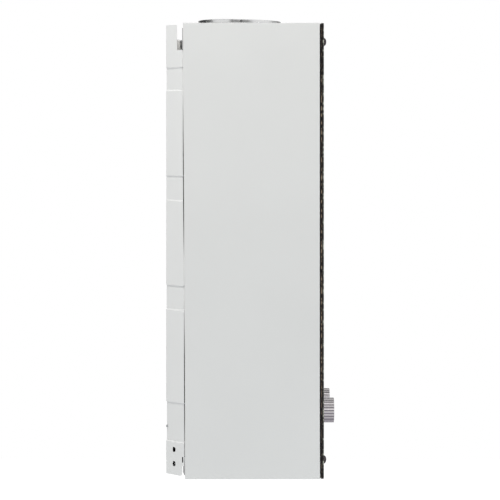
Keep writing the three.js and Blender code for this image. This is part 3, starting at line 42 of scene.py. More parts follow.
# Sizes in millimetres, after the model's source
CASE_HALF, CASE_HEIGHT = 165.0, 550.0
COVER_FRONT, COVER_SHEET, COVER_RADIUS = 186.3, 1.0, 3.0
COVER_SCREW_ACROSS, COVER_SCREW_OUT = 139.0, 40.0
REAR_EDGE_TOP, REAR_EDGE_LEAN = 20.9, 2.3
GLASS_BACK, GLASS_FACE = 187.2, 190.8
KNOB_ACROSS, KNOB_HEIGHT, KNOB_BASE = 82.5, 77.0, 191.2
FLUE_OUT, FLUE_RADIUS, FLUE_TOP = 89.0, 52.74, 563.0
HOOD_TOP, HOOD_REAR = 533.4, 16.8
WALL_STAND_OFF, FLANGE_LEAN, PAN_SHEET = 21.0, 24.0, 1.0
SEAT = 0.25
PAN_FACE = PAN_SHEET + SEAT
SHELL_HALF, SHELL_REAR, SHELL_FRONT = 96.0, 30.0, 150.0
SHELL_BOTTOM, SHELL_TOP = 268.0, 469.98
PASS_HEIGHT, PASS_PITCH, PASS_END = 434.98, 22.0, 112.0
PASS_OUTS = [(SHELL_REAR + SHELL_FRONT) / 2 + (i - 2) * PASS_PITCH for i in range(5)]
TUBE_RADIUS, TUBE_BEND = 6.5, 10.75
RAIL_HEIGHT, RAIL_OUT, FRAME_TOP = 195.69, 158.0, 261.99
ELECTRODE_ACROSS, ELECTRODE_HEIGHT = 22.0, 280.0
BAR_BOTTOM = RAIL_HEIGHT + 2.3
MOUTH_HEIGHT = BAR_BOTTOM + 8
BAR_PLACES = [(i - 3) * 23.0 for i in range(7)]
VALVE_OUT, VALVE_REAR, VALVE_FRONT = 98.0, 75.0, 122.0
VALVE_BOTTOM, VALVE_TOP, BOSS_TOP = 68.0, 122.0, 130.0
GAS_OUTLET, COLD_OUTLET, DRAIN_ACROSS = -70.0, 102.75, 98.0
ROD_HEIGHT = 100.0
FITTING_OUT, ELBOW_HEIGHT, OUTLET_TOP = 42.0, 95.0, 60.0
SHELF_HEIGHT, SHELF_SHEET = 24.0, 1.2
NIPPLE_END, THREAD_RADIUS = -7.5, 10.4

# Details that only this dressed model has, in millimetres
BEYOND = 170.0
PRINT_LOW, PRINT_HIGH = GLASS_FACE + 0.01, GLASS_FACE + 0.04
KNOB_HOLE, GLASS_SCREW_HOLE, COVER_SCREW_HOLE = 7.0, 2.3, 2.2
DISPLAY_HALF, DISPLAY_RISE = 33.0, 11.0
PIPE_ACROSS, FITTING_RADIUS, NUT_RADIUS = 125.0, 11.0, 17.0
PAN_LOW, PAN_TOP, NOTCH_LOW, NOTCH_OUT = 4.5, CASE_HEIGHT - 1.4, 517.8, 13.5
PAN_FRONT_HALF = CASE_HALF - COVER_SHEET - 0.35
PAN_REAR_HALF = PAN_FRONT_HALF - FLANGE_LEAN
FLANGE_ANGLE = math.atan2(FLANGE_LEAN, WALL_STAND_OFF)
FLANGE_HOLE_HEIGHTS, FLANGE_HOLE_OUT, FLANGE_HOLE_RADIUS = (17.2, 34.4), 8.7, 2.3

SIDES = (-1, 1)
FRONT, WALL = Vector((0, -1, 0)), Vector((0, 1, 0))
RIGHT, UP = Vector((1, 0, 0)), Vector((0, 0, 1))


# Geometry

def at(x, out, z):
    """A place across, out from the wall and up from the cover's lower edge, in metres."""
    return Vector((x, -out, z - CASE_HEIGHT / 2)) * MM


def link(bm):
    bmesh.ops.remove_doubles(bm, verts=bm.verts, dist=1e-7)
    bmesh.ops.recalc_face_normals(bm, faces=bm.faces)
    mesh = bpy.data.meshes.new("piece")
    bm.to_mesh(mesh)
    bm.free()
    obj = bpy.data.objects.new("piece", mesh)
    scene.collection.objects.link(obj)
    return obj


def bridge(bm, low, high):
    """Faces between two closed rows of equally many corners."""
    for i in range(len(low)):
        j = (i + 1) % len(low)
        bm.faces.new((low[i], low[j], high[j], high[i]))


def loft(rings):
    """A closed skin through rings of equal length."""
    bm = bmesh.new()
    rows = [[bm.verts.new(p) for p in ring] for ring in rings]
    for low, high in zip(rows, rows[1:]):
        bridge(bm, low, high)
    bm.faces.new(rows[0][::-1])
    bm.faces.new(rows[-1])
    return link(bm)


def spokes(axis):
    axis = Vector(axis).normalized()
    side = axis.orthogonal().normalized()
    return axis, side, axis.cross(side)


def ring(centre, u, v, sides, radius):
    """Points round a centre, at a radius in mm that is worked out from the angle."""
    angles = [2 * math.pi * k / sides for k in range(sides)]
    return [centre + (u * math.cos(a) + v * math.sin(a)) * radius(a) * MM for a in angles]


def lathe(profile, point, axis, sides=48, shape=lambda radius, along, a: radius):
    """A turned body: pairs of radius and distance along the axis, in mm, from a point."""
    axis, u, v = spokes(axis)
    bm = bmesh.new()
    rows = []
    for radius, along in profile:
        base = point + axis * along * MM
        places = ring(base, u, v, sides, lambda a: shape(radius, along, a)) if radius > 1e-6 else [base]
        rows.append([bm.verts.new(p) for p in places])
    pairs = list(zip(rows, rows[1:]))
    if len(rows[0]) > 1 and len(rows[-1]) > 1:
        pairs.append((rows[-1], rows[0]))
    for low, high in pairs:
        if len(low) == len(high) > 1:
            bridge(bm, low, high)
        elif len(low) > 1:
            for k in range(sides):
                bm.faces.new((low[k], low[(k + 1) % sides], high[0]))
        elif len(high) > 1:
            for k in range(sides):
                bm.faces.new((low[0], high[(k + 1) % sides], high[k]))
    return link(bm)


def fillet(points, radius, steps=4, closed=True):
    """Rounds the corners of a flat outline or profile; a point may name its own radius third."""
    result = []
    count = len(points)
    for i, point in enumerate(points):
        p = Vector(point[:2])
        if not closed and i in (0, count - 1):
            result.append(tuple(p))
            continue
        a = Vector(points[i - 1][:2]) - p
        b = Vector(points[(i + 1) % count][:2]) - p
        turn = a.angle(b) if a.length > 1e-6 and b.length > 1e-6 else math.pi
        r = radius if len(point) < 3 else point[2]
        if turn > math.pi - 0.03 or r <= 0:
            result.append(tuple(p))
            continue
        reach = min(r / math.tan(turn / 2), a.length * 0.49, b.length * 0.49)
        r = reach * math.tan(turn / 2)
        a.normalize()
        b.normalize()
        centre = p + (a + b).normalized() * (r / math.sin(turn / 2))
        start, end = p + a * reach - centre, p + b * reach - centre
        first = math.atan2(start.y, start.x)
        sweep = math.atan2(start.x * end.y - start.y * end.x, start.dot(end))
        result += arc(centre.x, centre.y, r, first, first + sweep, steps)
    return result


def arc(u, v, radius, start, end, steps, growth=0.0):
    """Points round a centre, from one angle to another, on a radius that may grow."""
    points = []
    for k in range(steps + 1):
        a = start + (end - start) * k / steps
        r = radius + growth * k / steps
        points.append((u + r * math.cos(a), v + r * math.sin(a)))
    return points


def circle(u, v, radius, steps=32, start=0.0):
    return arc(u, v, radius, start, start + 2 * math.pi, steps)[:-1]


def mirrored(half):
    """Half an outline, then its mirror image back from the last point to the first."""
    return half + [(-u, v) for u, v in half[::-1]]


def turned(profile, edge, point, axis, sides=48, steps=3):
    """A turned body with rounded corners."""
    return lathe(fillet(profile, edge, steps, closed=False), point, axis, sides)


def peg(point, axis, radius, low, high, edge, sides=48, steps=3):
    """A round bar with rounded rims, between two distances along an axis."""
    return turned([(0, low), (radius, low), (radius, high), (0, high)], edge, point, axis, sides, steps)


def rod(start, end, radius, sides=32):
    length = (end - start).length / MM
    return lathe([(0, 0), (radius, 0), (radius, length), (0, length)], start, end - start, sides)


PLANES = {
    "front": lambda u, v, w: at(u, w, v),
    "top": lambda u, v, w: at(u, v, w),
    "side": lambda u, v, w: at(w, u, v),
}


def pin(plane, u, v, low, high, radius, sides=32):
    """A sharp-edged rod square to a plane."""
    place = PLANES[plane]
    return rod(place(u, v, low), place(u, v, high), radius, sides)


def prism(plane, outline, low, high):
    place = PLANES[plane]
    return loft([[place(p[0], p[1], w) for p in outline] for w in (low, high)])


def across(outline):
    """A cutter of one side outline that reaches past both sides of the case."""
    return prism("side", outline, -BEYOND, BEYOND)


def rect(u0, u1, v0, v1, radius=0.0, steps=6):
    corners = [(u0, v0), (u1, v0), (u1, v1), (u0, v1)]
    return fillet(corners, radius, steps) if radius else corners


def box(x0, x1, out0, out1, z0, z1):
    return prism("front", rect(min(x0, x1), max(x0, x1), z0, z1), out0, out1)


def hexagon(start, end, radius):
    """A hexagonal nut's body with its corners turned off at both ends."""
    sides, trim, sixth = 48, 0.9, math.pi / 3
    axis, u, v = spokes(end - start)
    length = (end - start).length / MM
    rings = []
    for along, off in ((0, trim), (trim, 0.0), (length - trim, 0.0), (length, trim)):
        row = []
        for k in range(sides):
            a = 2 * math.pi * (k + 0.5) / sides
            flat = radius * math.cos(sixth / 2) / math.cos(a % sixth - sixth / 2)
            r = min(flat, radius - off)
            row.append(start + (axis * along + (u * math.cos(a) + v * math.sin(a)) * r) * MM)
        rings.append(row)
    return loft(rings)


def thicken(line, thickness):
    """The closed outline of a sheet that lies on the left of an open line."""
    normals = []
    for (u0, v0), (u1, v1) in zip(line, line[1:]):
        step = Vector((u1 - u0, v1 - v0)).normalized()
        normals.append(Vector((-step.y, step.x)))
    inner = []
    for i, (u, v) in enumerate(line):
        before, after = normals[max(i - 1, 0)], normals[min(i, len(normals) - 1)]
        mitre = (before + after) * (thickness / (1 + before.dot(after)))
        inner.append((u + mitre.x, v + mitre.y))
    return list(line) + inner[::-1]


def bent_sheet(half, sheet, bend):
    """The closed outline of a bracket folded alike on both sides."""
    return thicken(fillet(mirrored(half), bend, 4, closed=False), sheet)


def route(corners, radius, steps):
    """A path through corner points with each corner rounded."""
    radius *= MM
    path = [corners[0]]
    for back, corner, on in zip(corners, corners[1:], corners[2:]):
        a, b = (back - corner).normalized(), (on - corner).normalized()
        half = a.angle(b) / 2
        reach = radius / math.tan(half)
        centre = corner + (a + b).normalized() * (radius / math.sin(half))
        first, last = corner + a * reach - centre, corner + b * reach - centre
        axis = first.cross(last).normalized()
        for k in range(steps + 1):
            path.append(centre + Matrix.Rotation(first.angle(last) * k / steps, 3, axis) @ first)
    return path + [corners[-1]]


def tube(path, radius, sides):
    side = (path[1] - path[0]).normalized().orthogonal().normalized()
    rings = []
    for i, point in enumerate(path):
        along = (path[min(i + 1, len(path) - 1)] - path[max(i - 1, 0)]).normalized()
        side = (side - along * side.dot(along)).normalized()
        rings.append(ring(point, side, along.cross(side), sides, lambda a: radius))
    return loft(rings)


def pipe(places, bend, radius, steps=8, sides=28):
    """A round pipe or wire through places given across, out and up, in mm."""
    return tube(route([at(*place) for place in places], bend, steps), radius, sides)


def ease(share):
    """A soft step from 0 to 1."""
    t = min(1.0, max(0.0, share))
    return t * t * (3 - 2 * t)


def bake(obj):
    bpy.context.view_layer.update()
    mesh = bpy.data.meshes.new_from_object(obj.evaluated_get(bpy.context.evaluated_depsgraph_get()))
    obj.modifiers.clear()
    obj.data = mesh
    return obj


def combine(obj, others, operation):
    for other in others:
        step = obj.modifiers.new("combine", "BOOLEAN")
        step.operation, step.solver, step.object = operation, "EXACT", other
    bake(obj)
    for other in others:
        bpy.data.objects.remove(other)
    return obj


def cut(obj, *others):
    return combine(obj, others, "DIFFERENCE")


def fuse(obj, *others):
    return combine(obj, others, "UNION")


def gather(obj, *others):
    """Joins meshes that don't touch into one object."""
    bm = bmesh.new()
    for part in (obj, *others):
        bm.from_mesh(part.data)
        bpy.data.objects.remove(part)
    return link(bm)


def soften(obj, width, segments=2, angle=40):
    """Rounds every edge sharper than an angle."""
    step = obj.modifiers.new("soften", "BEVEL")
    step.width, step.segments = width * MM, segments
    step.limit_method, step.angle_limit = "ANGLE", math.radians(angle)
    return bake(obj)


def show(obj, name, look, nodes=(), body="housing", angle=32):
    """Names a piece, shades it, ties it to its body and hides the CAD nodes it stands for."""
    obj.name = name
    obj.data.shade_smooth()
    obj.data.set_sharp_from_angle(angle=math.radians(angle))
    step = obj.modifiers.new("normals", "WEIGHTED_NORMAL")
    step.keep_sharp, step.weight = True, 100
    bake(obj)
    obj.data.name = name
    if not obj.data.materials:
        obj.data.materials.append(look)
    for i, material in enumerate(obj.data.materials):
        if material is None:
            obj.data.materials[i] = look
    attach(obj, body)
    if nodes:
        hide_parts(*nodes)


def from_cad(node, look, width, body="housing"):
    """A CAD solid of bent or moulded flat faces, with its faces whole again and its edges rounded."""
    bm = bmesh.new()
    bm.from_mesh(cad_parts[node].data)
    bmesh.ops.remove_doubles(bm, verts=bm.verts, dist=1e-6)
    bmesh.ops.dissolve_limit(bm, angle_limit=math.radians(0.5), verts=bm.verts, edges=bm.edges)
    show(soften(link(bm), width, 2, 30), f"{node}_form", look, [node], body)


# Materials

class Nodes:
    """A node tree, with short ways to add nodes and join them."""

    def __init__(self, tree):
        self.tree = tree

    def node(self, kind, **settings):
        made = self.tree.nodes.new(kind)
        for key, value in settings.items():
            setattr(made, key, value)
        return made

    def join(self, start, end):
        self.tree.links.new(start, end)

    def spread(self, value, low, high, start, end):
        made = self.node("ShaderNodeMapRange")
        for socket, number in zip(("From Min", "From Max", "To Min", "To Max"), (start, end, low, high)):
            made.inputs[socket].default_value = number
        self.join(value, made.inputs["Value"])
        return made.outputs["Result"]

    def calc(self, operation, *values):
        made = self.node("ShaderNodeMath", operation=operation)
        for socket, value in zip(made.inputs, values):
            if isinstance(value, (int, float)):
                socket.default_value = value
            else:
                self.join(value, socket)
        return made.outputs["Value"]

    def seen_directly(self):
        """One for rays of the camera, gloss and glass, and nought for the rest."""
        path = self.node("ShaderNodeLightPath")
        most = path.outputs["Is Camera Ray"]
        for name in ("Is Glossy Ray", "Is Transmission Ray"):
            most = self.calc("MAXIMUM", most, path.outputs[name])
        return most


class Look(Nodes):
    """One procedural material: a shader and the nodes that feed it."""

    def __init__(self, name, color, roughness, metallic=0.0, **sockets):
        self.material = bpy.data.materials.new(name)
        self.material.use_nodes = True
        super().__init__(self.material.node_tree)
        self.shader = self.tree.nodes["Principled BSDF"]
        self.color = color
        self.set("Base Color", (*color, 1.0))
        self.set("Roughness", roughness)
        self.set("Metallic", metallic)
        for key, value in sockets.items():
            self.set(key.replace("_", " "), value)
        self.place = self.node("ShaderNodeTexCoord").outputs["Object"]
        self.last_bump = None

    def set(self, socket, value):
        self.shader.inputs[socket].default_value = value

    def axes(self):
        """The place's sockets X, Y and Z."""
        split = self.node("ShaderNodeSeparateXYZ")
        self.join(self.place, split.inputs["Vector"])
        return split.outputs

    def noise(self, scale, detail=3.0, rough=0.5, warp=0.0):
        made = self.node("ShaderNodeTexNoise")
        settings = {"Scale": scale, "Detail": detail, "Roughness": rough, "Distortion": warp}
        for socket, number in settings.items():
            made.inputs[socket].default_value = number
        self.join(self.place, made.inputs["Vector"])
        return made.outputs["Fac"]

    def cells(self, scale, output="Color"):
        made = self.node("ShaderNodeTexVoronoi")
        made.inputs["Scale"].default_value = scale
        self.join(self.place, made.inputs["Vector"])
        return made.outputs[output]

    def ramp(self, value, *stops):
        made = self.node("ShaderNodeValToRGB")
        band = made.color_ramp
        while len(band.elements) < len(stops):
            band.elements.new(0.5)
        for element, (position, color) in zip(band.elements, stops):
            element.position, element.color = position, (*color, 1.0)
        self.join(value, made.inputs["Fac"])
        return made.outputs["Color"]

    def mix(self, factor, first, second):
        made = self.node("ShaderNodeMix", data_type="RGBA")
        self.join(factor, made.inputs[0])
        for socket, value in ((made.inputs[6], first), (made.inputs[7], second)):
            if isinstance(value, tuple):
                socket.default_value = (*value, 1.0)
            else:
                self.join(value, socket)
        return made.outputs[2]

    def tint(self, color):
        self.join(color, self.shader.inputs["Base Color"])

    def vary(self, value, amount, start=0.3, end=0.7):
        """Base colour a little darker and lighter about its own."""
        darker = tuple(min(1.0, c * (1 - amount)) for c in self.color)
        lighter = tuple(min(1.0, c * (1 + amount)) for c in self.color)
        self.tint(self.ramp(value, (start, darker), (end, lighter)))

    def rough(self, value, low, high, start=0.3, end=0.7):
        self.join(self.spread(value, low, high, start, end), self.shader.inputs["Roughness"])

    def bump(self, value, depth):
        """Relief of a depth in mm."""
        made = self.node("ShaderNodeBump")
        made.inputs["Distance"].default_value = depth * MM
        made.inputs["Strength"].default_value = 1.0
        self.join(value, made.inputs["Height"])
        if self.last_bump:
            self.join(self.last_bump, made.inputs["Normal"])
        self.last_bump = made.outputs["Normal"]
        self.join(self.last_bump, self.shader.inputs["Normal"])


def coat(name, color, roughness, tone, gloss, *reliefs, metallic=0.0, **sockets):
    """A cloudy tone (amount, noise), uneven gloss (low, high, noise) and reliefs (depth, noise)."""
    look = Look(name, color, roughness, metallic, **sockets)
    amount, *clouds = tone
    look.vary(look.noise(*clouds), amount)
    low, high, *patches = gloss
    look.rough(look.noise(*patches), low, high)
    for depth, *grain in reliefs:
        look.bump(look.noise(*grain), depth)
    return look.material


def enamel(name, color):
    return coat(name, color, 0.36, (0.012, 9.0, 4.0), (0.3, 0.42, 60.0), (0.012, 1100.0, 2.0),
                (0.06, 14.0, 2.0), IOR=1.5)


def metal(name, color, low, high, amount, grain, depth, scale=40.0):
    return coat(name, color, 0.4, (amount, scale, 5.0, 0.6), (low, high, scale * 3), (depth, grain, 4.0, 0.6),
                metallic=0.95)


def plastic(name, color, roughness):
    return coat(name, color, roughness, (0.08, 120.0), (roughness - 0.06, roughness + 0.08, 300.0),
                (0.02, 1500.0, 2.0), IOR=1.46)


def zinc_look():
    look = Look("galvanised_steel", (0.73, 0.735, 0.735), 0.3, 0.97)
    spangle = look.cells(160.0)
    look.vary(spangle, 0.08, 0.1, 0.9)
    look.rough(spangle, 0.2, 0.34, 0.1, 0.9)
    look.bump(look.noise(700.0), 0.01)
    return look.material


def copper_look():
    look = Look("drawn_copper", (0.78, 0.42, 0.29), 0.35, 0.95)
    tarnish = look.noise(28.0, 6.0, 0.62, warp=0.6)
    brown, red, bright = (0.42, 0.2, 0.13), (0.7, 0.36, 0.24), (0.84, 0.5, 0.35)
    look.tint(look.ramp(tarnish, (0.3, brown), (0.5, red), (0.68, bright)))
    look.rough(look.noise(90.0), 0.24, 0.5)
    look.bump(look.noise(500.0), 0.015)
    return look.material


def silver_look():
    """Satin plating, with shade painted dark down in the flutes of a knob."""
    look = Look("satin_plating_flute_shade", (0.76, 0.73, 0.74), 0.12, 0.97)
    axes = look.axes()
    side = look.calc("SUBTRACT", look.calc("ABSOLUTE", axes["X"]), KNOB_ACROSS * MM)
    rise = look.calc("SUBTRACT", axes["Z"], (KNOB_HEIGHT - CASE_HEIGHT / 2) * MM)
    square = look.calc("ADD", look.calc("MULTIPLY", side, side), look.calc("MULTIPLY", rise, rise))
    reach = look.calc("SQRT", square)
    # Painted shade: the plating is darkest 14.4 to 14.9 mm from the knob's axis, down in the flutes, and
    # fades back to its own tone on the ridges and the face.
    groove = look.calc("MULTIPLY", look.spread(reach, 0.0, 1.0, 0.0149, 0.01535),
                       look.spread(reach, 1.0, 0.0, 0.01555, 0.0156))
    face = look.spread(reach, 1.0, 0.0, 0.0142, 0.0144)
    level = look.calc("MAXIMUM", groove, face)
    ground = look.ramp(look.noise(220.0, 3.0), (0.3, (0.75, 0.72, 0.73)), (0.7, (0.81, 0.78, 0.79)))
    look.tint(look.mix(level, (0.33, 0.31, 0.32), ground))
    look.rough(look.noise(600.0, 3.0), 0.07, 0.16)
    look.bump(look.noise(2600.0, 2.0), 0.004)
    return look.material


def glass_edge_look():
    """The ground edge: dark in the middle, with brown and olive patches where the light runs in."""
    dark = (0.012, 0.01, 0.011)
    look = Look("ground_glass_edge", (0.02, 0.018, 0.015), 0.34, IOR=1.5, Specular_IOR_Level=0.15)
    brown = look.ramp(look.noise(230.0, 2.0, 0.6), (0.4, (0.007, 0.005, 0.006)),
                      (0.5, (0.05, 0.036, 0.027)), (0.58, (0.24, 0.18, 0.13)))
    olive = look.ramp(look.noise(270.0, 2.0, 0.6), (0.45, (0.012, 0.012, 0.009)),
                      (0.54, (0.07, 0.072, 0.055)), (0.61, (0.37, 0.38, 0.32)))
    axes = look.axes()
    out = look.spread(axes["Y"], 1.0, 0.0, -GLASS_FACE * MM, -GLASS_BACK * MM)
    rear = look.spread(out, 1.0, 0.0, 0.3, 0.4)
    middle = look.calc("MULTIPLY", look.spread(axes["Z"], 0.25, 1.0, 0.23, 0.17),
                       look.spread(axes["Z"], 0.25, 1.0, -0.2, -0.13))
    rear = look.calc("MULTIPLY", rear, middle)
    front = look.spread(out, 0.0, 1.0, 0.62, 0.7)
    look.tint(look.mix(front, look.mix(rear, dark, brown), olive))
    look.rough(look.noise(420.0), 0.25, 0.5)
    look.bump(look.noise(1800.0, 3.0), 0.03)
    return look.material


# Black foam, also used to paint the shade inside the flange's holes and slots.
def foam_and_hole_shade_look():
    look = Look("foam_strip", (0.005, 0.004, 0.005), 0.95, Specular_IOR_Level=0.05)
    look.vary(look.noise(700.0), 0.5)
    look.bump(look.cells(1600.0, "Distance"), 0.08)
    return look.material


# How pale the strip in the seam between cover and pan is at each height: painted shade, dark where the seam
# lies open, pale where it comes out to the lip
SEAM_SHADE_TONES = [
    (0, 0.4), (46, 0.42), (71, 0.12), (95, 0.06), (119, 0.02), (143, 0.08), (167, 0.3), (191, 0.6),
    (210, 0.88), (265, 0.95), (288, 0.42), (312, 0.12), (336, 0.01), (360, 0.005), (385, 0.02), (409, 0.18),
    (433, 0.45), (457, 0.72), (480, 0.88), (550, 0.88)]


def seam_shade_look():
    """A strip in the seam between cover and back plate, whose tone by height paints the seam's shade."""
    look = Look("seam_shade_strip", (0.4, 0.4, 0.4), 0.7, Specular_IOR_Level=0.2)
    height = look.spread(look.axes()["Z"], 0.0, 1.0, -CASE_HEIGHT / 2 * MM, CASE_HEIGHT / 2 * MM)
    look.tint(look.ramp(height, *[(z / CASE_HEIGHT, (tone, tone, tone)) for z, tone in SEAM_SHADE_TONES]))
    look.bump(look.noise(900.0), 0.03)
    return look.material


WHITE = enamel("white_enamel_coat", (0.724, 0.734, 0.729))
PLATE = enamel("plate_enamel_coat", (0.88, 0.891, 0.888))
PAINTED = enamel("pale_bracket_coat", (0.98, 0.98, 0.96))
# A grey copy of the enamel: painted shade on small tabs that lie dim behind the cover's rear edge.
SHADE_GREY_EDGE = enamel("edge_shade_grey_coat", (0.45, 0.45, 0.45))
GLASS_LOOK = coat("printed_glass_face", (0.006, 0.006, 0.007), 0.05, (0.25, 500.0),
                  (0.03, 0.075, 30.0, 5.0), (0.02, 7.0, 1.0), IOR=1.52)
EDGE_LOOK = glass_edge_look()
FOAM_AND_HOLE_SHADE, SEAM_SHADE, SILVER, ZINC, COPPER = foam_and_hole_shade_look(), seam_shade_look(), silver_look(), zinc_look(), copper_look()
CHROME = coat("dark_chrome", (0.085, 0.072, 0.08), 0.12, (0.12, 400.0), (0.06, 0.18, 900.0),
              (0.004, 1400.0), metallic=1.0)
STEEL = metal("screw_steel_plate", (0.5, 0.5, 0.49), 0.22, 0.42, 0.1, 900.0, 0.01, 120.0)
BRASS = metal("cast_brass", (0.66, 0.5, 0.25), 0.3, 0.5, 0.12, 1200.0, 0.02)
ALUMINIUM = metal("die_cast_aluminium", (0.56, 0.57, 0.58), 0.42, 0.6, 0.08, 1500.0, 0.04)
BLACK = plastic("black_moulding", (0.022, 0.022, 0.024), 0.45)
GREY = plastic("grey_moulding", (0.27, 0.28, 0.29), 0.5)
RED = plastic("red_moulding", (0.42, 0.035, 0.025), 0.38)
RUBBER = plastic("black_rubber_skin", (0.016, 0.016, 0.017), 0.75)
JACKET = plastic("cell_jacket_print", (0.03, 0.14, 0.075), 0.32)
INK = plastic("pale_print", (0.42, 0.42, 0.43), 0.4)
DIM = plastic("dim_print", (0.045, 0.045, 0.05), 0.3)
CERAMIC = coat("glazed_ceramic", (0.82, 0.79, 0.7), 0.3, (0.05, 150.0), (0.2, 0.4, 200.0), (0.01, 900.0))


# Casing

GLASS_SCREWS = [(f"{level}_{side}", sign * (CASE_HALF - 19), z)
                for level, z in (("upper", CASE_HEIGHT - 22), ("lower", 22))
                for side, sign in (("left", -1), ("right", 1))]

# Heights, and how much further out than a straight line the cover's rear edge lies there
REAR_EDGE_BOW = [(0, 0.1), (60, 0.4), (120, 0.55), (200, 0.6), (300, 0.35), (360, 0.25), (470, 0.1),
                 (CASE_HEIGHT, 0)]


def rear_edge(z):
    """How far out from the wall the cover's rear edge lies."""
    bow = REAR_EDGE_BOW[-1][1]
    for (z0, bow0), (z1, bow1) in zip(REAR_EDGE_BOW, REAR_EDGE_BOW[1:]):
        if z <= z1:
            bow = bow0 + (bow1 - bow0) * max(0.0, (z - z0) / (z1 - z0))
            break
    return REAR_EDGE_TOP + REAR_EDGE_LEAN * (1 - z / CASE_HEIGHT) + bow


def front_cover():
    """A thin jacket, open behind, whose front leans back a little with height."""
    rings = []
    for z, lean in ((0, 0.0), (25, 0.15), (50, 0.28), (100, 0.37), (CASE_HEIGHT, 0.38)):
        front = COVER_FRONT - lean
        half = [(CASE_HALF, 10), (CASE_HALF, front - 2.7), (CASE_HALF - 0.25, front - 0.4),
                (CASE_HALF - 0.75, front)]
        rings.append([at(x, out, z) for x, out in mirrored(half)])
    outer = soften(loft(rings), 0.5, 3, 25)
    inner = soften(box(-CASE_HALF + COVER_SHEET, CASE_HALF - COVER_SHEET, 0, COVER_FRONT - COVER_SHEET,
                       COVER_SHEET, CASE_HEIGHT - COVER_SHEET), COVER_RADIUS - COVER_SHEET, 4)
    line = [(rear_edge(z), z) for z in (-1, 60, 120, 200, 290, 360, 430, 500, CASE_HEIGHT + 1)]
    behind = across([(-5, -1)] + line + [(-5, CASE_HEIGHT + 1)])
    radius, rear = FLUE_RADIUS + 2.2, 5
    notch = prism("top", [(radius, rear)] + arc(0, FLUE_OUT, radius, 0, math.pi, 48) + [(-radius, rear)],
                  CASE_HEIGHT - 3, CASE_HEIGHT + 2)
    front_cut, floor_cut = (180, 190), (-2, 3)
    opening = prism("top", rect(-120, 120, rear, 150, 8), *floor_cut)
    tools = [pin("front", side * KNOB_ACROSS, KNOB_HEIGHT, *front_cut, KNOB_HOLE) for side in SIDES]
    tools += [pin("front", x, z, *front_cut, GLASS_SCREW_HOLE, 16) for _, x, z in GLASS_SCREWS]
    tools += [pin("top", side * COVER_SCREW_ACROSS, COVER_SCREW_OUT, *floor_cut, COVER_SCREW_HOLE, 16)
              for side in SIDES]
    tools.append(box(-DISPLAY_HALF, DISPLAY_HALF, *front_cut, KNOB_HEIGHT - DISPLAY_RISE,
                     KNOB_HEIGHT + DISPLAY_RISE))
    shell = cut(outer, inner, behind, notch, opening, gather(*tools))
    show(soften(shell, 0.25, 2, 50), "cover_jacket", WHITE, ["front_cover"])


def front_glass():
    """A pane with ground edges and holes for knobs and screws, from one flat curve."""
    curve = bpy.data.curves.new("glass", "CURVE")
    curve.dimensions, curve.fill_mode = "2D", "BOTH"
    edge = 0.7
    loops = [rect(-CASE_HALF, CASE_HALF, 0, CASE_HEIGHT, 4, 10)]
    loops += [circle(side * KNOB_ACROSS, KNOB_HEIGHT, KNOB_HOLE) for side in SIDES]
    loops += [circle(x, z, GLASS_SCREW_HOLE + 0.3, 20) for _, x, z in GLASS_SCREWS]
    for loop in loops:
        spline = curve.splines.new("POLY")
        spline.points.add(len(loop) - 1)
        for point, (x, z) in zip(spline.points, loop):
            point.co = (x * MM, (z - CASE_HEIGHT / 2) * MM, 0, 1)
        spline.use_cyclic_u = True
    curve.extrude = ((GLASS_FACE - GLASS_BACK) / 2 - edge) * MM
    curve.bevel_depth, curve.bevel_resolution, curve.offset = edge * MM, 2, -edge * MM
    flat = bpy.data.objects.new("glass", curve)
    scene.collection.objects.link(flat)
    bpy.context.view_layer.update()
    mesh = bpy.data.meshes.new_from_object(flat.evaluated_get(bpy.context.evaluated_depsgraph_get()))
    bpy.data.objects.remove(flat)
    middle = (GLASS_FACE + GLASS_BACK) / 2
    mesh.transform(Matrix(((1, 0, 0, 0), (0, 0, -1, -middle * MM), (0, 1, 0, 0), (0, 0, 0, 1))))
    bm = bmesh.new()
    bm.from_mesh(mesh)
    glass = link(bm)
    glass.data.materials.append(GLASS_LOOK)
    glass.data.materials.append(EDGE_LOOK)
    for face in glass.data.polygons:
        face.material_index = 0 if abs(face.normal.y) > 0.9 else 1
    show(glass, "glass_front", GLASS_LOOK, ["front_glass"], angle=25)


def glass_gasket():
    low, high = COVER_FRONT + SEAT, COVER_FRONT + SEAT + 0.4
    edge, width = 0.5, 10
    half = CASE_HALF - edge
    strip = prism("front", rect(-half, half, edge, CASE_HEIGHT - edge, 4), low, high)
    window = rect(width - CASE_HALF, CASE_HALF - width, width, CASE_HEIGHT - width, 3)
    strip = cut(strip, prism("front", window, low - 2, high + 2))
    show(strip, "foam_strip", FOAM_AND_HOLE_SHADE, ["glass_gasket"])


def glass_screws():
    quarter = [math.pi / 2 * k / 10 for k in range(11)]
    dome = [(4.7 * math.cos(a), 0.9 + 2.3 * math.sin(a)) for a in quarter]
    profile = [(0, -10.5), (2, -10.5), (2, 0), (5.5, 0), (5.5, 0.45), (5.2, 0.75), (4.7, 0.75)] + dome
    for place, x, z in GLASS_SCREWS:
        cap = lathe(profile, at(x, GLASS_FACE + SEAT, z), FRONT, 64)
        show(cap, f"glass_cap_{place}", CHROME, [f"glass_screw_{place}"])


def cover_screws():
    """Round heads with a cross slot, driven up through the cover's lower edge."""
    head = fillet([(1.9, 0), (4, 0), (3.8, -0.9), (2.4, -1.8)], 0.5, 3, closed=False)
    profile = [(0, 8), (1.2, 8), (1.9, 7)] + head + [(0, -1.8)]
    out, half_long, half_thin = COVER_SCREW_OUT, 1.9, 0.4
    for side, x in (("left", -COVER_SCREW_ACROSS), ("right", COVER_SCREW_ACROSS)):
        screw = lathe(profile, at(x, out, -SEAT), UP, 32)
        slots = fuse(box(x - half_long, x + half_long, out - half_thin, out + half_thin, -4, -1.2),
                     box(x - half_thin, x + half_thin, out - half_long, out + half_long, -4, -1.2))
        show(cut(screw, slots), f"cover_fixing_{side}", STEEL, [f"cover_screw_{side}"])


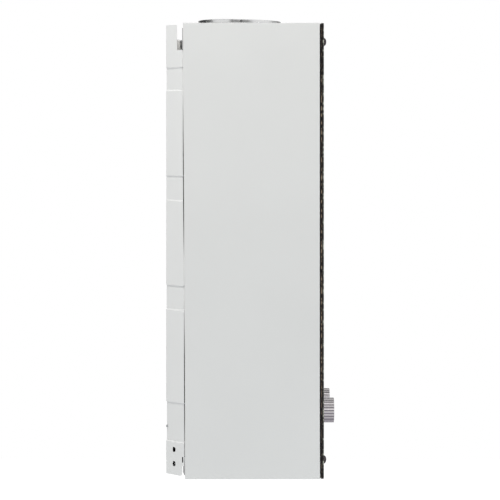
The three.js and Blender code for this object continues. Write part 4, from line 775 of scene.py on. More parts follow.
def knob(x, node, body):
    """A fluted grip with a turned face and an inlaid pointer."""
    length, depth, flutes = 14.4, 0.7, 24

    def fluted(r, along, a):
        fade = min(1.0, max(0.0, (r - 13.9) / 1.2)) * (0.4 if along < 0.3 else 1.0)
        groove = (0.5 + 0.5 * math.cos(flutes * a)) ** 2.2
        return r - depth * fade * groove

    profile = [(0, 9), (4.2, 9), (4.2, 0), (14.9, 0), (15.4, 0.2), (15.5, 0.5), (15.5, 6), (15.5, 13.9),
               (15.42, 14.2), (15.2, 14.35), (14.8, 14.4), (13.6, 14.4), (13.1, 14.36), (12.95, 14.05),
               (12.8, 14), (12.65, 14.05), (12.5, 14.34), (9, 14.36), (5, 14.38), (2, 14.395), (0, length)]
    grip = lathe(profile, at(x, KNOB_BASE, KNOB_HEIGHT), FRONT, flutes * 14, fluted)
    front, low, high, half = KNOB_BASE + length, KNOB_HEIGHT + 4.6, KNOB_HEIGHT + 12.2, 0.9
    gap = 0.05
    pocket = prism("front", rect(x - half, x + half, low, high, 0.85), front - 1.1, front + 1)
    show(cut(grip, pocket), f"{node}_grip", SILVER, [node], body, angle=40)
    outline = rect(x - half + gap, x + half - gap, low + gap, high - gap, 0.8)
    inlay = prism("front", outline, front - 1.05, front - 0.75)
    show(inlay, f"{node}_pointer", BLACK, body=body)


def mark(outline, hole=None):
    """A thin print on the glass, with or without a hole in it."""
    printed = prism("front", outline, PRINT_LOW, PRINT_HIGH)
    return cut(printed, prism("front", hole, GLASS_FACE - 1, GLASS_FACE + 1)) if hole else printed


def digit(x, z):
    """Seven flat segments of an unlit display."""
    h, thick = 4.5, 0.9
    made = []
    for u, v, flat in ((h / 2, 2 * h, 1), (h, 1.5 * h, 0), (h, 0.5 * h, 0), (h / 2, 0, 1), (0, 0.5 * h, 0),
                       (0, 1.5 * h, 0), (h / 2, h, 1)):
        end = h / 2 - thick * 0.75
        tip, side = end + thick / 2, thick / 2
        line = [(-tip, 0), (-end, -side), (end, -side), (tip, 0), (end, side), (-end, side)]
        made.append(mark([(x + u + (p if flat else q), z + v + (q if flat else -p)) for p, q in line]))
    return made


def glass_print():
    """Plain marks: a widening band and dots along each knob's travel, and a frame round the display."""
    marks = []
    top, inner_radius, dot_radius = math.pi / 2, 20.5, 25.4
    for centre, sweep in ((-KNOB_ACROSS, 150), (KNOB_ACROSS, 270)):
        end = top - math.radians(sweep)
        outer = arc(centre, KNOB_HEIGHT, inner_radius + 0.25, top, end, 40, growth=2.4)
        inner = arc(centre, KNOB_HEIGHT, inner_radius, top, end, 40)
        marks.append(mark(outer + inner[::-1]))
        for k, (x, z) in enumerate(arc(centre, KNOB_HEIGHT, dot_radius, top, end, 6)):
            marks.append(mark(circle(x, z, 0.55 + 0.12 * k, 20)))
    line, low, high = 0.5, KNOB_HEIGHT - DISPLAY_RISE - 1, KNOB_HEIGHT + DISPLAY_RISE + 1
    marks.append(mark(rect(-DISPLAY_HALF, DISPLAY_HALF, low, high, 4),
                      rect(line - DISPLAY_HALF, DISPLAY_HALF - line, low + line, high - line, 4 - line)))
    show(gather(*marks), "glass_marks", INK)
    degree = mark(circle(8.6, KNOB_HEIGHT + 4, 1.2, 24), circle(8.6, KNOB_HEIGHT + 4, 1.2 - line, 24))
    figures = digit(-10, KNOB_HEIGHT - 4.5) + digit(-1.5, KNOB_HEIGHT - 4.5)
    show(gather(*figures, degree), "display_segments", DIM)


# Back plate

# Each stamped band: its ends as shares of the height, the share of its depth that it keeps at the wall,
# the height of its upper slope in mm, and how many times deeper it dips below that slope
BANDS = [(0.0833, 0.1645, 0.6, 2.2, 1.1), (0.3735, 0.4229, 0.35, 1.1, 1.5),
         (0.6136, 0.6641, 0.1, 1.1, 1.5), (0.8557, 0.9018, 0.3, 1.5, 1.25)]
BAND_DEPTH, BAND_RISE, BAND_SETTLE = 1.5, 2.2, 3.6


def band_heights():
    """The heights at which the pan needs a ring."""
    heights = {PAN_LOW, PAN_TOP}
    for start, end, _, slope, _ in BANDS:
        heights |= {start * CASE_HEIGHT - BAND_RISE * (1 - k / 6) for k in range(7)}
        heights |= {end * CASE_HEIGHT + slope * k / 6 for k in range(7)}
        heights |= {end * CASE_HEIGHT - BAND_SETTLE * k / 6 for k in range(1, 7)}
    return sorted(heights)


def insets(z):
    """How far the bands draw the flange in at a height, at its front and at the wall."""
    front = rear = 0.0
    for start, end, rear_share, slope, dip in BANDS:
        below = end * CASE_HEIGHT + slope - z
        share = BAND_DEPTH * ease((z - start * CASE_HEIGHT + BAND_RISE) / BAND_RISE) * ease(below / slope)
        share *= 1 + (dip - 1) * (1 - ease((below - slope) / BAND_SETTLE))
        front += share
        rear += share * rear_share
    return front, rear


def pan_ring(z):
    """The pan's sheet at a height: lip, drafted flange, bend and wall side."""
    bend = 2.5
    inset, rear_inset = insets(z)
    edge = rear_edge(z)
    front, lip = PAN_FRONT_HALF - inset, PAN_FRONT_HALF - 0.2
    right = [(lip, edge + 8), (lip, edge + 2.6), (front - 1.9, edge + 1.6), (front - 1.9, edge - 0.6),
             (front - 0.9, edge - 1.1)]
    right += arc(PAN_REAR_HALF - bend - inset, bend + rear_inset, bend, -FLANGE_ANGLE, -math.pi / 2, 8)
    slant = 0 if z == PAN_TOP else 0.6 + (1 - z / CASE_HEIGHT)
    return [at(x, out, z - slant * min(1.0, out / WALL_STAND_OFF))
            for x, out in thicken(mirrored(right)[::-1], PAN_SHEET)]


def wall_pan(hole_places):
    """The pan, notched at its upper and lower front corners, with holes, keyholes and slots."""
    rim, above, far = PAN_TOP + 0.02, CASE_HEIGHT + 10, 60
    upper = across(fillet([(far, NOTCH_LOW), (far, above), (5, above), (5, rim), (NOTCH_OUT, rim, 2.2),
                           (NOTCH_OUT, NOTCH_LOW, 0.6)], 0, 6))
    lower = across(fillet([(far, 0), (far, 15.5), (20, 15.5, 0.6), (19.9, 3, 3), (14, 3.4), (14, 0)], 0, 6))
    tools = [upper, lower]
    tools += [rod(point - normal * 6 * MM, point + normal * 6 * MM, FLANGE_HOLE_RADIUS)
              for point, normal in hole_places]
    z, half = PAN_TOP - 34, 3
    for x in (-80, 80):
        keyhole = [circle(x, z, 2 * half, 48), rect(x - half, x + half, z, z + 13, half - 0.01)]
        for outline in keyhole + [rect(x - 10, x + 10, 28 - half, 28 + half, half - 0.01)]:
            tools.append(prism("front", outline, -1, 3))
    plate = soften(cut(loft([pan_ring(z) for z in band_heights()]), *tools), 0.15, 2, 50)
    flange_slot = across(rect(19.75, 21.1, 19.5, 26.5, 0.5))
    show(cut(plate, flange_slot), "wall_pan", PLATE, ["back_plate"], angle=40)


def seam_shade_strips():
    """A strip on each side, between the pan's flange and the cover's rear edge, that paints the shade in the
    seam.
    """
    shade_strips, low, high, width = [], 26.6, 516.5, 1.0
    for side in SIDES:
        rings = []
        for z in [low] + [z for z in band_heights() if low + 1 < z < high - 1] + [high]:
            x, edge = PAN_FRONT_HALF - insets(z)[0] - 1.0, rear_edge(z)
            corners = ((x, edge - 1.05), (x, edge + 0.4), (x - width, edge + 0.4), (x - width, edge - 0.7))
            rings.append([at(side * u, out, z) for u, out in corners])
        shade_strips.append(loft(rings))
    show(gather(*shade_strips), "cover_seam_shade_strips", SEAM_SHADE, angle=40)


def back_plate():
    """The pan, and the small things in its holes, slots and seams, most of them dark to paint the shade
    there.
    """
    hole_places = []
    for side in SIDES:
        for z in FLANGE_HOLE_HEIGHTS:
            x = PAN_REAR_HALF + FLANGE_LEAN * FLANGE_HOLE_OUT / WALL_STAND_OFF
            normal = Vector((side * math.cos(FLANGE_ANGLE), math.sin(FLANGE_ANGLE), 0))
            hole_places.append((at(side * x, FLANGE_HOLE_OUT, z), normal))
    wall_pan(hole_places)
    seam_shade_strips()
    # Painted shade: black rings in the flange's holes and black blocks seen through its slots stand for the
    # shade inside them.
    collar_profile = [(2.15, 1.2), (3.1, 1.2), (3.1, 4.4), (2.15, 4.4)]
    shaded_hole_rings = [lathe(collar_profile, point, -normal, 32) for point, normal in hole_places]
    slot_shade_blocks = [box(side * 156.3, side * 157.5, 19.2, 22.5, 17.5, 27.5) for side in SIDES]
    show(gather(*shaded_hole_rings, *slot_shade_blocks), "flange_hole_and_slot_shade", FOAM_AND_HOLE_SHADE, angle=40)
    # Painted shade: the pan's top ears are grey where they lie dim behind the cover's edge.
    ears = [prism("side", rect(19.9, 23.8, 518.2, 544, 0.4), side * 163.1, side * 163.7) for side in SIDES]
    show(soften(gather(*ears), 0.1, 1, 50), "pan_top_ears", SHADE_GREY_EDGE)
    pips = [soften(box(side * 137.6, side * 139.3, 0.1, 1.6, 60.7, 63.3), 0.3) for side in SIDES]
    show(gather(*pips), "wall_side_pips", GREY)


def cover_hems():
    """Folded tabs at the cover's lower rear corners, grey to paint their shade."""
    line = [(163.9, 24.2), (163.6, 23.0), (160.9, 20.95)]
    hems = []
    for side in SIDES:
        outline = [(side * x, out) for x, out in line]
        outline += [(side * (x - 0.8), out + 0.1) for x, out in line[::-1]]
        hems.append(cut(prism("top", outline, 4.6, 19.5), across([(20, 4), (22.6, 4), (20, 10.5)])))
    show(gather(*hems), "cover_hem_tabs", SHADE_GREY_EDGE)


# Flue

def flue_collar():
    """A hemmed ring whose rim leans a little down towards the front."""
    base, sheet, foot, rim_drop = HOOD_TOP + SEAT, 0.8, 7, 1.3
    inner, outer = FLUE_RADIUS - sheet, FLUE_RADIUS - 0.2
    hem = FLUE_TOP - 4
    profile = fillet([(inner, base, 0.2), (FLUE_RADIUS + foot, base), (FLUE_RADIUS + foot, base + sheet),
                      (outer, base + sheet, 0.8), (outer, hem - 0.6), (FLUE_RADIUS, hem),
                      (FLUE_RADIUS, FLUE_TOP, 0.8), (inner - sheet, FLUE_TOP, 0.8), (inner - sheet, hem),
                      (inner, hem - 0.6)], 0.3)
    collar = lathe(profile, at(0, FLUE_OUT, 0), UP, 144)
    low, high = at(0, 0, base + 3).z, at(0, 0, FLUE_TOP).z
    for vertex in collar.data.vertices:
        if vertex.co.z > low:
            rise = (vertex.co.z - low) / (high - low)
            vertex.co.z -= rise * rim_drop * ease((-vertex.co.y / MM - FLUE_OUT + 45) / 66) * MM
    show(collar, "flue_ring", ZINC, ["flue_collar"])


def flue_hood():
    half, front, rear, sheet, bottom = SHELL_HALF + 1.05, SHELL_FRONT + 1.05, HOOD_REAR, 0.8, SHELL_TOP - 8
    outer = soften(prism("top", rect(-half, half, rear, front, 3), bottom - 6, HOOD_TOP), 0.7, 3, 60)
    inner = prism("top", rect(-half + sheet, half - sheet, rear + sheet, front - sheet, 2.2), bottom - 12,
                  HOOD_TOP - sheet)
    relief = box(-half - 2, half + 2, rear - 2, SHELL_REAR - SEAT, bottom - 20, SHELL_TOP + 8)
    floor_cut = box(-half - 2, half + 2, rear - 2, front + 2, bottom - 20, bottom)
    hole = pin("top", 0, FLUE_OUT, HOOD_TOP - 5, HOOD_TOP + 5, FLUE_RADIUS - 0.8, 96)
    hood = cut(outer, inner, relief, floor_cut, hole)
    show(soften(hood, 0.2, 2, 50), "draught_hood", ZINC, ["flue_hood"])


def hood_bracket():
    """A shallow cap, folded round its edge, that ties the hood to the wall pan."""
    half, rear, front, low, sheet = SHELL_HALF + 0.9, PAN_FACE, HOOD_REAR - 0.35, HOOD_TOP - 25.4, 1
    whole = soften(box(-half, half, rear, front, low, HOOD_TOP), 0.8, 3)
    hollow = box(-half + sheet, half - sheet, rear + sheet, front - sheet, low - 5, HOOD_TOP - sheet)
    show(cut(whole, hollow), "hood_bracket_cap", PAINTED, ["hood_bracket"])


# Heat exchanger

def exchanger_shell():
    sheet = 1
    outline = rect(-SHELL_HALF, SHELL_HALF, SHELL_REAR, SHELL_FRONT, 6, 8)
    outer = prism("top", outline, SHELL_BOTTOM, SHELL_TOP)
    hollow = rect(-SHELL_HALF + sheet, SHELL_HALF - sheet, SHELL_REAR + sheet, SHELL_FRONT - sheet, 5, 8)
    inner = prism("top", hollow, SHELL_BOTTOM - 2, SHELL_TOP + 2)
    tools = [pin("side", out, PASS_HEIGHT, -100, 100, TUBE_RADIUS + 0.15, 40) for out in PASS_OUTS]
    tools += [pin("front", x, ELECTRODE_HEIGHT, SHELL_FRONT - 5, SHELL_FRONT + 5, 3.65, 24)
              for x in (-ELECTRODE_ACROSS, ELECTRODE_ACROSS)]
    shell = cut(outer, inner, gather(*tools))
    show(soften(shell, 0.2, 2, 50), "chamber_shell", COPPER, ["exchanger_shell"])


def fin_core():
    """A tube that winds through a stack of fins."""
    places = [(PASS_END, PASS_OUTS[0], PASS_HEIGHT)]
    for i in range(4):
        far = (-1 if i % 2 == 0 else 1) * (PASS_END + SEAT)
        places += [(far, out, PASS_HEIGHT) for out in PASS_OUTS[i:i + 2]]
    places.append((-PASS_END, PASS_OUTS[4], PASS_HEIGHT))
    serpentine = pipe(places, PASS_PITCH / 2 - 0.001, TUBE_RADIUS, 10)
    bm = bmesh.new()
    count, thickness, half = (58), 0.45, 91.5
    outline = rect(33, 147, PASS_HEIGHT - 25, PASS_HEIGHT + 25, 8, 5)
    loops = [outline] + [circle(out, PASS_HEIGHT, TUBE_RADIUS + 0.1, 24) for out in PASS_OUTS]
    for k in range(count):
        x = -half + 2 * half * k / (count - 1)
        sides = []
        for w in (x - thickness / 2, x + thickness / 2):
            rows = [[bm.verts.new(at(w, u, v)) for u, v in loop] for loop in loops]
            edges = [bm.edges.new((row[i], row[(i + 1) % len(row)])) for row in rows for i in range(len(row))]
            bmesh.ops.triangle_fill(bm, edges=edges, use_beauty=True)
            sides.append(rows)
        for low, high in zip(*sides):
            bridge(bm, low, high)
    fins = link(bm)
    show(serpentine, "core_serpentine", COPPER, ["fin_core"])
    show(fins, "core_fins", COPPER, ["fin_core"])


def union_nut(point, radius=10.5):
    """A hexagonal union nut round an upright pipe's end."""
    end = point + UP * 11 * MM
    return cut(hexagon(point, end, radius), rod(point - UP * MM, end + UP * MM, TUBE_RADIUS + 0.1))


def chamber_coil():
    coil_half, rear, front = COLD_OUTLET, 23.25, 156.75
    z, climb = 301.99, 9.0
    places = [(coil_half, VALVE_OUT, BOSS_TOP + SEAT), (coil_half, VALVE_OUT, z)]
    for _ in range(2):
        for x, out in ((coil_half, rear), (-coil_half, rear), (-coil_half, front), (coil_half, front)):
            z += climb
            places.append((x, out, z))
    places += [(PIPE_ACROSS, PASS_OUTS[0], z + climb), (PIPE_ACROSS, PASS_OUTS[0], PASS_HEIGHT),
               (PASS_END + SEAT, PASS_OUTS[0], PASS_HEIGHT)]
    show(pipe(places, TUBE_BEND, TUBE_RADIUS - 0.02), "wound_coil", COPPER, ["chamber_coil"])
    show(union_nut(at(coil_half, VALVE_OUT, BOSS_TOP + 0.6)), "coil_union_nut", BRASS)


def hot_pipe():
    x, last, run = -PIPE_ACROSS, PASS_OUTS[4], 168
    places = [(-PASS_END - SEAT, last, PASS_HEIGHT), (x, last, PASS_HEIGHT), (x, last, 240),
              (x, FITTING_OUT, 231), (x, FITTING_OUT, run), (0, FITTING_OUT, run),
              (0, FITTING_OUT, OUTLET_TOP + SEAT)]
    show(pipe(places, TUBE_BEND, TUBE_RADIUS), "outlet_pipe", COPPER, ["hot_pipe"])
    show(union_nut(at(0, FITTING_OUT, OUTLET_TOP + 0.6), 11.5), "outlet_union_nut", BRASS)


def cut_out(node, x, out, z):
    """A thermal switch: a disc with two blade terminals."""
    disc = turned([(0, 0), (10, 0), (10, 1), (8, 1), (8, 4.6), (7, 6), (0, 6)], 0.4, at(x, out, z), FRONT)
    blades = [soften(box(x + s - 0.4, x + s + 0.4, out + 5, out + 13, z - 2.4, z + 2.4), 0.3)
              for s in (-3.5, 3.5)]
    show(disc, f"{node}_disc", BLACK, [node])
    show(gather(*blades), f"{node}_blades", BRASS)


def strap(node, reach, z):
    """A hat-shaped bracket between the pan and what it carries, with a slot in each foot."""
    sheet, width = 1, 14
    outline = bent_sheet([(-44, PAN_FACE), (-30, PAN_FACE), (-30, reach - sheet)], sheet, 1.6)
    holes = [prism("front", rect(x - 3, x + 3, z + 5, z + 9, 1.99), -1, 4) for x in (-37, 37)]
    piece = cut(prism("top", outline, z, z + width), *holes)
    show(soften(piece, 0.15, 2, 50), f"{node}_strap", ZINC, [node])


# Burner

def burner_bars():
    """Seven alike: a flat blade with slots along its top and a round gas mouth low at the front."""
    top, rear, front, mouth_out, half, slot, pitch = FRAME_TOP - 6, 42.0, 138.0, 140.0, 4.9, 1.6, 4.4
    blade_bottom, arm_top = BAR_BOTTOM + 26, BAR_BOTTOM + 16
    outline = fillet([(mouth_out, BAR_BOTTOM, 1), (rear, BAR_BOTTOM, 12), (rear, top, 5), (front, top, 5),
                      (front, blade_bottom, 2), (63, blade_bottom, 4.9), (63, arm_top, 4.9),
                      (mouth_out, arm_top, 1)], 1, 8)
    blade = soften(prism("side", outline, -half, half), 0.8, 3, 50)
    ports = [box(-7, 7, 48 + pitch * k, 48 + slot + pitch * k, top - 4, top + 2) for k in range(20)]
    mouth = pin("front", 0, MOUTH_HEIGHT, mouth_out - 24, mouth_out + 1, 4.4)
    groove = box(-0.6, 0.6, 44, 136, top - 8, top + 2)
    blade = cut(blade, gather(mouth), gather(*ports), groove)
    for i, x in enumerate(BAR_PLACES):
        mesh = blade.data.copy()
        mesh.transform(Matrix.Translation((x * MM, 0, 0)))
        bar = bpy.data.objects.new("bar", mesh)
        scene.collection.objects.link(bar)
        show(bar, f"burner_blade_{i + 1}", ZINC, [f"burner_bar_{i + 1}"])
    bpy.data.objects.remove(blade)


def gas_manifold():
    body = peg(at(0, RAIL_OUT, MOUTH_HEIGHT), RIGHT, 8, -84, 84, 1.2, steps=4)
    ears = [soften(box(side * 79, side * 90, 142.25, RAIL_OUT, MOUTH_HEIGHT - 5, MOUTH_HEIGHT + 5), 1)
            for side in SIDES]
    show(fuse(body, *ears), "gas_rail", ALUMINIUM, ["gas_manifold"])
    nozzle = [(0.5, 12.5), (2, 13.5), (3.2, 12.2), (3.2, 10.5), (4.6, 10.5), (4.6, 7), (0, 7)]
    profile = [(0, 12.5)] + fillet(nozzle, 0.3, 2, closed=False)
    jets = [lathe(profile, at(x, RAIL_OUT, MOUTH_HEIGHT), WALL, 24) for x in BAR_PLACES]
    show(gather(*jets), "gas_jets", BRASS)


def gas_riser():
    x, bottom, top = GAS_OUTLET, BOSS_TOP + SEAT, MOUTH_HEIGHT - 8 - SEAT
    places = [(x, VALVE_OUT, bottom), (x, VALVE_OUT, bottom + (top - bottom) * 0.32),
              (x, RAIL_OUT, bottom + (top - bottom) * 0.53), (x, RAIL_OUT, top)]
    show(pipe(places, 8, 6, 10), "gas_feed_pipe", ZINC, ["gas_riser"])


def electrode(node, x, drop):
    """A ribbed ceramic in the chamber's front, with a wire that bends down to the flames."""
    shaft, collar = 3.5, 5.5
    ribs = [(r, 6 + 1.2 * k + d) for k in range(5) for r, d in ((shaft, 0), (2.9, 0.4), (shaft, 0.8))]
    profile = [(0, -12), (3.1, -12), (shaft, -11.4), (shaft, 0), (5.3, 0), (collar, 0.3), (collar, 1.8),
               (5.2, 2.1), (shaft, 4), (shaft, 6)] + ribs + [(shaft, 15.4), (3.0, 16), (0, 16)]
    ceramic = lathe(profile, at(x, SHELL_FRONT + SEAT, ELECTRODE_HEIGHT), FRONT, 40)
    elbow_out = SHELL_FRONT - 24
    wire = pipe([(x, SHELL_FRONT - 11.9, ELECTRODE_HEIGHT), (x, elbow_out, ELECTRODE_HEIGHT),
                 (x, elbow_out - drop / 2, ELECTRODE_HEIGHT - drop)], 2.4, 1.1, 5, 16)
    show(ceramic, f"{node}_ceramic", CERAMIC, [node])
    show(wire, f"{node}_wire", STEEL)


# Fittings

def thread(start, end, point):
    """A threaded bar from one distance to another along +Z of a point, turned off at its lower end."""
    pitch, depth, sides = 1.81, 0.75, 48
    steps = int((end - start) / (0.3))
    rings = []
    for k in range(steps + 1):
        z = start + (end - start) * k / steps
        trim = max(0.0, 1.6 - (z - start)) * 0.9
        row = []
        for i in range(sides):
            a = 2 * math.pi * i / sides
            phase = (z / pitch - i / sides) % 1.0
            r = THREAD_RADIUS - max(depth * abs(2 * phase - 1), trim)
            row.append(point + Vector((math.cos(a) * r, math.sin(a) * r, z)) * MM)
        rings.append(row)
    return loft(rings)


def stem(x, top):
    """Threaded nipple, hexagon and body of a fitting, with its bore still to cut."""
    point = at(x, FITTING_OUT, 0)
    hex_low, hex_high = SHELF_HEIGHT + SEAT, SHELF_HEIGHT + SEAT + 9
    nipple = thread(NIPPLE_END, hex_low + 1, point)
    nut = hexagon(point + UP * hex_low * MM, point + UP * hex_high * MM, NUT_RADIUS)
    return fuse(nipple, nut, peg(point, UP, FITTING_RADIUS, hex_low, top, 0.6))


def bore(x):
    return lathe([(0, -10), (7, -10), (7, 12), (0, 14)], at(x, FITTING_OUT, 0), UP, 40)


def elbow(node, x, look):
    """A fitting whose body turns out to the front and ends in a flange at its valve."""
    corner, length, flange = at(x, FITTING_OUT, ELBOW_HEIGHT), 32.75, 4
    leg = lathe([(0, 0), (FITTING_RADIUS, 0), (FITTING_RADIUS, 28), (13, length - flange),
                 (NUT_RADIUS, length - flange), (NUT_RADIUS, length), (0, length)], corner, FRONT)
    knuckle = lathe(arc(0, 0, FITTING_RADIUS + 1, -math.pi / 2, math.pi / 2, 16), corner, FRONT)
    show(cut(fuse(stem(x, ELBOW_HEIGHT), leg, knuckle), bore(x)), f"{node}_casting", look, [node])


def outlet_fitting():
    show(cut(stem(0, OUTLET_TOP), bore(0)), "outlet_nipple", BRASS, ["hot_outlet_fitting"])


def lock_nuts():
    top, height = SHELF_HEIGHT - SHELF_SHEET - SEAT, 8
    hole_profile = [(0, -9), (11.6, -9), (11.6, -8), (10.7, -7.2), (10.7, -0.8), (11.6, 0), (11.6, 1), (0, 1)]
    for node, x in (("gas_lock_nut", -KNOB_ACROSS), ("hot_lock_nut", 0), ("cold_lock_nut", KNOB_ACROSS)):
        nut = hexagon(at(x, FITTING_OUT, top - height), at(x, FITTING_OUT, top), NUT_RADIUS)
        hole = lathe(hole_profile, at(x, FITTING_OUT, top), UP, 40)
        show(cut(nut, hole), f"{node}_hex", BRASS, [node])


def fitting_shelf():
    """A folded shelf that carries the three fittings, notched round the pan's lower corners."""
    face = SHELF_HEIGHT - SHELF_SHEET
    outline = bent_sheet([(-150, PAN_FACE), (-126, PAN_FACE), (-126, face)], SHELF_SHEET, 2)
    shelf = prism("front", outline, PAN_FACE, 66)
    tools = [pin("top", x, FITTING_OUT, 20, 28, THREAD_RADIUS + 0.3, 48)
             for x in (-KNOB_ACROSS, 0, KNOB_ACROSS)]
    tools += [pin("top", side * COVER_SCREW_ACROSS, COVER_SCREW_OUT, 0, 6, COVER_SCREW_HOLE, 16)
              for side in SIDES]
    corners = [box(side * 155, side * 123, 0, WALL_STAND_OFF + 3.5, 0, 19.2) for side in SIDES]
    shelf = cut(shelf, gather(*tools), gather(*corners))
    show(soften(shelf, 0.2, 2, 50), "pipe_shelf", ZINC, ["fitting_bracket"])


# Valves

def casting(half, x):
    """A valve's cast block between two distances across."""
    return soften(box(x - half, x + half, VALVE_REAR, VALVE_FRONT, VALVE_BOTTOM, VALVE_TOP), 5, 4)


def boss(x):
    return peg(at(x, VALVE_FRONT, KNOB_HEIGHT), FRONT, 9, -2, 18, 0.7)


def outlet(x):
    return peg(at(x, VALVE_OUT, VALVE_TOP), UP, 9, -2, 8, 0.7)


def spindle_bore(x):
    return pin("front", x, KNOB_HEIGHT, 108, 141, 4.3)


def screw_heads(places, axis, radius=2.6):
    """Pan heads, each at a point on a face."""
    height = 1.6
    profile = [(0, -0.5), (radius, -0.5), (radius, height * 0.5), (radius * 0.8, height * 0.85), (0, height)]
    return gather(*[lathe(profile, point, axis, 24) for point in places])


def gas_valve():
    gland = pin("side", VALVE_OUT, ROD_HEIGHT, -56, -44, 5.8, 40)
    rib = soften(box(-120, -50, 96, 100, 75, 115), 0.6)
    ear = soften(box(-54, -20, 86, 88, 103, 128), 0.6)
    solid = fuse(casting(33, -85), boss(-KNOB_ACROSS), outlet(GAS_OUTLET), gland, rib, ear)
    holes = [spindle_bore(-KNOB_ACROSS), pin("side", VALVE_OUT, ROD_HEIGHT, -43, -64, 3.3),
             pin("front", -44, 108.5, 85, 89, 1.3, 16)]
    show(cut(solid, *holes), "gas_valve_casting", ALUMINIUM, ["gas_valve_body"])
    heads = screw_heads([at(x, VALVE_FRONT, z) for x in (-111, -59) for z in (75, 115)], FRONT)
    show(heads, "gas_valve_screws", STEEL)


def gas_solenoid():
    x, foot = -100, VALVE_TOP + SEAT
    can = turned([(0, 0), (13.5, 0), (13.5, 2), (11.5, 2), (11.5, 30, 1.5), (5.75, 33), (0, 33)], 0.5,
                 at(x, VALVE_OUT, foot), UP, 56)
    show(can, "solenoid_can", BLACK, ["gas_solenoid"])
    z = foot + 16
    blades = [soften(box(x + s - 1.6, x + s + 1.6, 109, 116.5, z - 0.4, z + 0.4), 0.2) for s in (-2.6, 2.6)]
    show(gather(*blades), "solenoid_blades", BRASS)


def water_valve():
    flange = turned([(0, 0), (36, 0), (36, 6), (28, 6), (24, 9), (0, 9)], 0.6, at(40, VALVE_OUT, ROD_HEIGHT),
                    RIGHT, 72)
    drain = peg(at(DRAIN_ACROSS, VALVE_OUT, 0), UP, 7, 60, 70, 0.5, 40)
    solid = fuse(casting(34, 80), flange, boss(KNOB_ACROSS), outlet(COLD_OUTLET), drain)
    holes = [spindle_bore(KNOB_ACROSS), pin("top", DRAIN_ACROSS, VALVE_OUT, 59, 72, 4.3)]
    show(cut(solid, *holes), "water_valve_casting", BRASS, ["water_valve_body"])


def diaphragm_parts():
    right, disc_radius, screw_circle = 39.75, 35, 33
    disc = peg(at(right - 1, VALVE_OUT, ROD_HEIGHT), RIGHT, disc_radius, 0, 1, 0.3, 72, 2)
    show(disc, "diaphragm_disc", RUBBER, ["diaphragm"])
    dish = right - 1.25
    rim, left = dish - 5, dish - 15
    profile = fillet([(3.3, left - 8), (9, left - 8), (9, left, 1.5), (26, left, 1.5),
                      (30, left + 4, 1.5), (30, rim, 1), (36, rim), (36, dish), (26, dish),
                      (26, left + 4, 1), (3.3, left + 4)], 0.5, 3)
    cover = lathe(profile, at(0, VALVE_OUT, ROD_HEIGHT), RIGHT, 72)
    show(cover, "diaphragm_housing", BRASS, ["diaphragm_cover"])
    places = [at(rim, out, z) for out, z in circle(VALVE_OUT, ROD_HEIGHT, screw_circle, 6, math.pi / 6)]
    show(screw_heads(places, -RIGHT, 2.3), "diaphragm_screws", STEEL)


def push_rod():
    right, left, plate = 38.5, -57.0, 2
    profile = [(0, left), (3, left), (3, -5.5), (4, -5.5), (7.5, -0.5), (3, -0.5), (3, right - plate),
               (22, right - plate), (22, right), (0, right)]
    rod_form = turned(profile, 0.3, at(0, VALVE_OUT, ROD_HEIGHT), RIGHT, 40, 2)
    show(rod_form, "valve_push_rod", STEEL, ["push_rod"], "rod")


def spindles():
    """Shafts from the knobs to the valves, each with a flat under its knob."""
    for side, node, body in ((-1, "gas_spindle", "gas_control"), (1, "water_spindle", "water_control")):
        x = side * KNOB_ACROSS
        shaft = peg(at(x, 0, KNOB_HEIGHT), FRONT, 3.9, 108.25, 199.95, 0.5, 32, 2)
        flat = box(x - 5, x + 5, 191, 201, KNOB_HEIGHT + 2.6, KNOB_HEIGHT + 5)
        show(cut(shaft, flat), f"{node}_shaft", STEEL, [node], body)


def drain_handle():
    def fluted(r, along, a):
        return r - (0.5 * (0.5 + 0.5 * math.cos(16 * a)) if r > 8 and along < -0.5 else 0)

    profile = [(0, 11.75), (4, 11.75), (4, -SEAT), (10, -SEAT, 1), (10, -7, 1.2), (0, -7)]
    cap = lathe(fillet(profile, 0.4, closed=False), at(DRAIN_ACROSS, VALVE_OUT, 60), UP, 56, fluted)
    outline = rect(DRAIN_ACROSS - 9, DRAIN_ACROSS + 9, 41, 54, 4)
    wing = soften(prism("front", outline, VALVE_OUT - 2, VALVE_OUT + 2), 0.9, 4)
    show(fuse(cap, wing), "drain_tap", RED, ["drain_handle"], "drain")


# Electrics

def control_box():
    body = soften(prism("front", rect(100, 136, 111.98, 195.97, 4, 5), PAN_FACE, 49.25), 0.8, 3)
    rim = soften(prism("front", rect(98, 138, 110, 197.9, 6, 5), 34.85, 36.85), 0.5)
    socket = soften(box(106, 130, 15.65, 30, 106, 113), 0.6)
    vents = [box(106, 130, 48.6, 51, z, z + 2) for z in range(132, 157, 6)]
    pins = [box(x, x + 3, 18, 27.6, 104, 110) for x in range(108, 124, 5)]
    case = cut(fuse(body, rim, socket), gather(*vents), gather(*pins))
    show(case, "ignition_box", GREY, ["control_box"])


def battery_cells():
    height, first, pitch, radius, end = 20.6, 84.75, 33.6, 16.4, 29.5
    profile = [(0, -end + 0.4), (6, -end + 0.4), (6, -end, 0.1), (15.2, -end, 0.6), (radius, -end + 1, 0.5),
               (radius, end - 1, 0.5), (15.2, end, 0.6), (6.2, end - 0.3, 0.3), (4.5, end, 0.2),
               (4.5, end + 1.8, 0.5), (0, end + 1.8)]
    for k, sign in ((1, 1), (2, -1)):
        cell = turned(profile, 0.4, at(-0.9 * sign, first + (k - 1) * pitch, height), RIGHT * sign, 64)
        show(cell, f"cell_{k}", JACKET, [f"battery_cell_{k}"])


# Stage

FLOOR_LEVEL, FLOOR_GLOW, WORLD_LIGHT = -3.2, 0.7, 0.525
LENS, SENSOR, SHIFT, EYE = 191.2, 36.0, (0.0194, -0.0992), (-3.365, -0.090, 0.061)
SIDE_PANEL = (0, -0.09, 0.25)


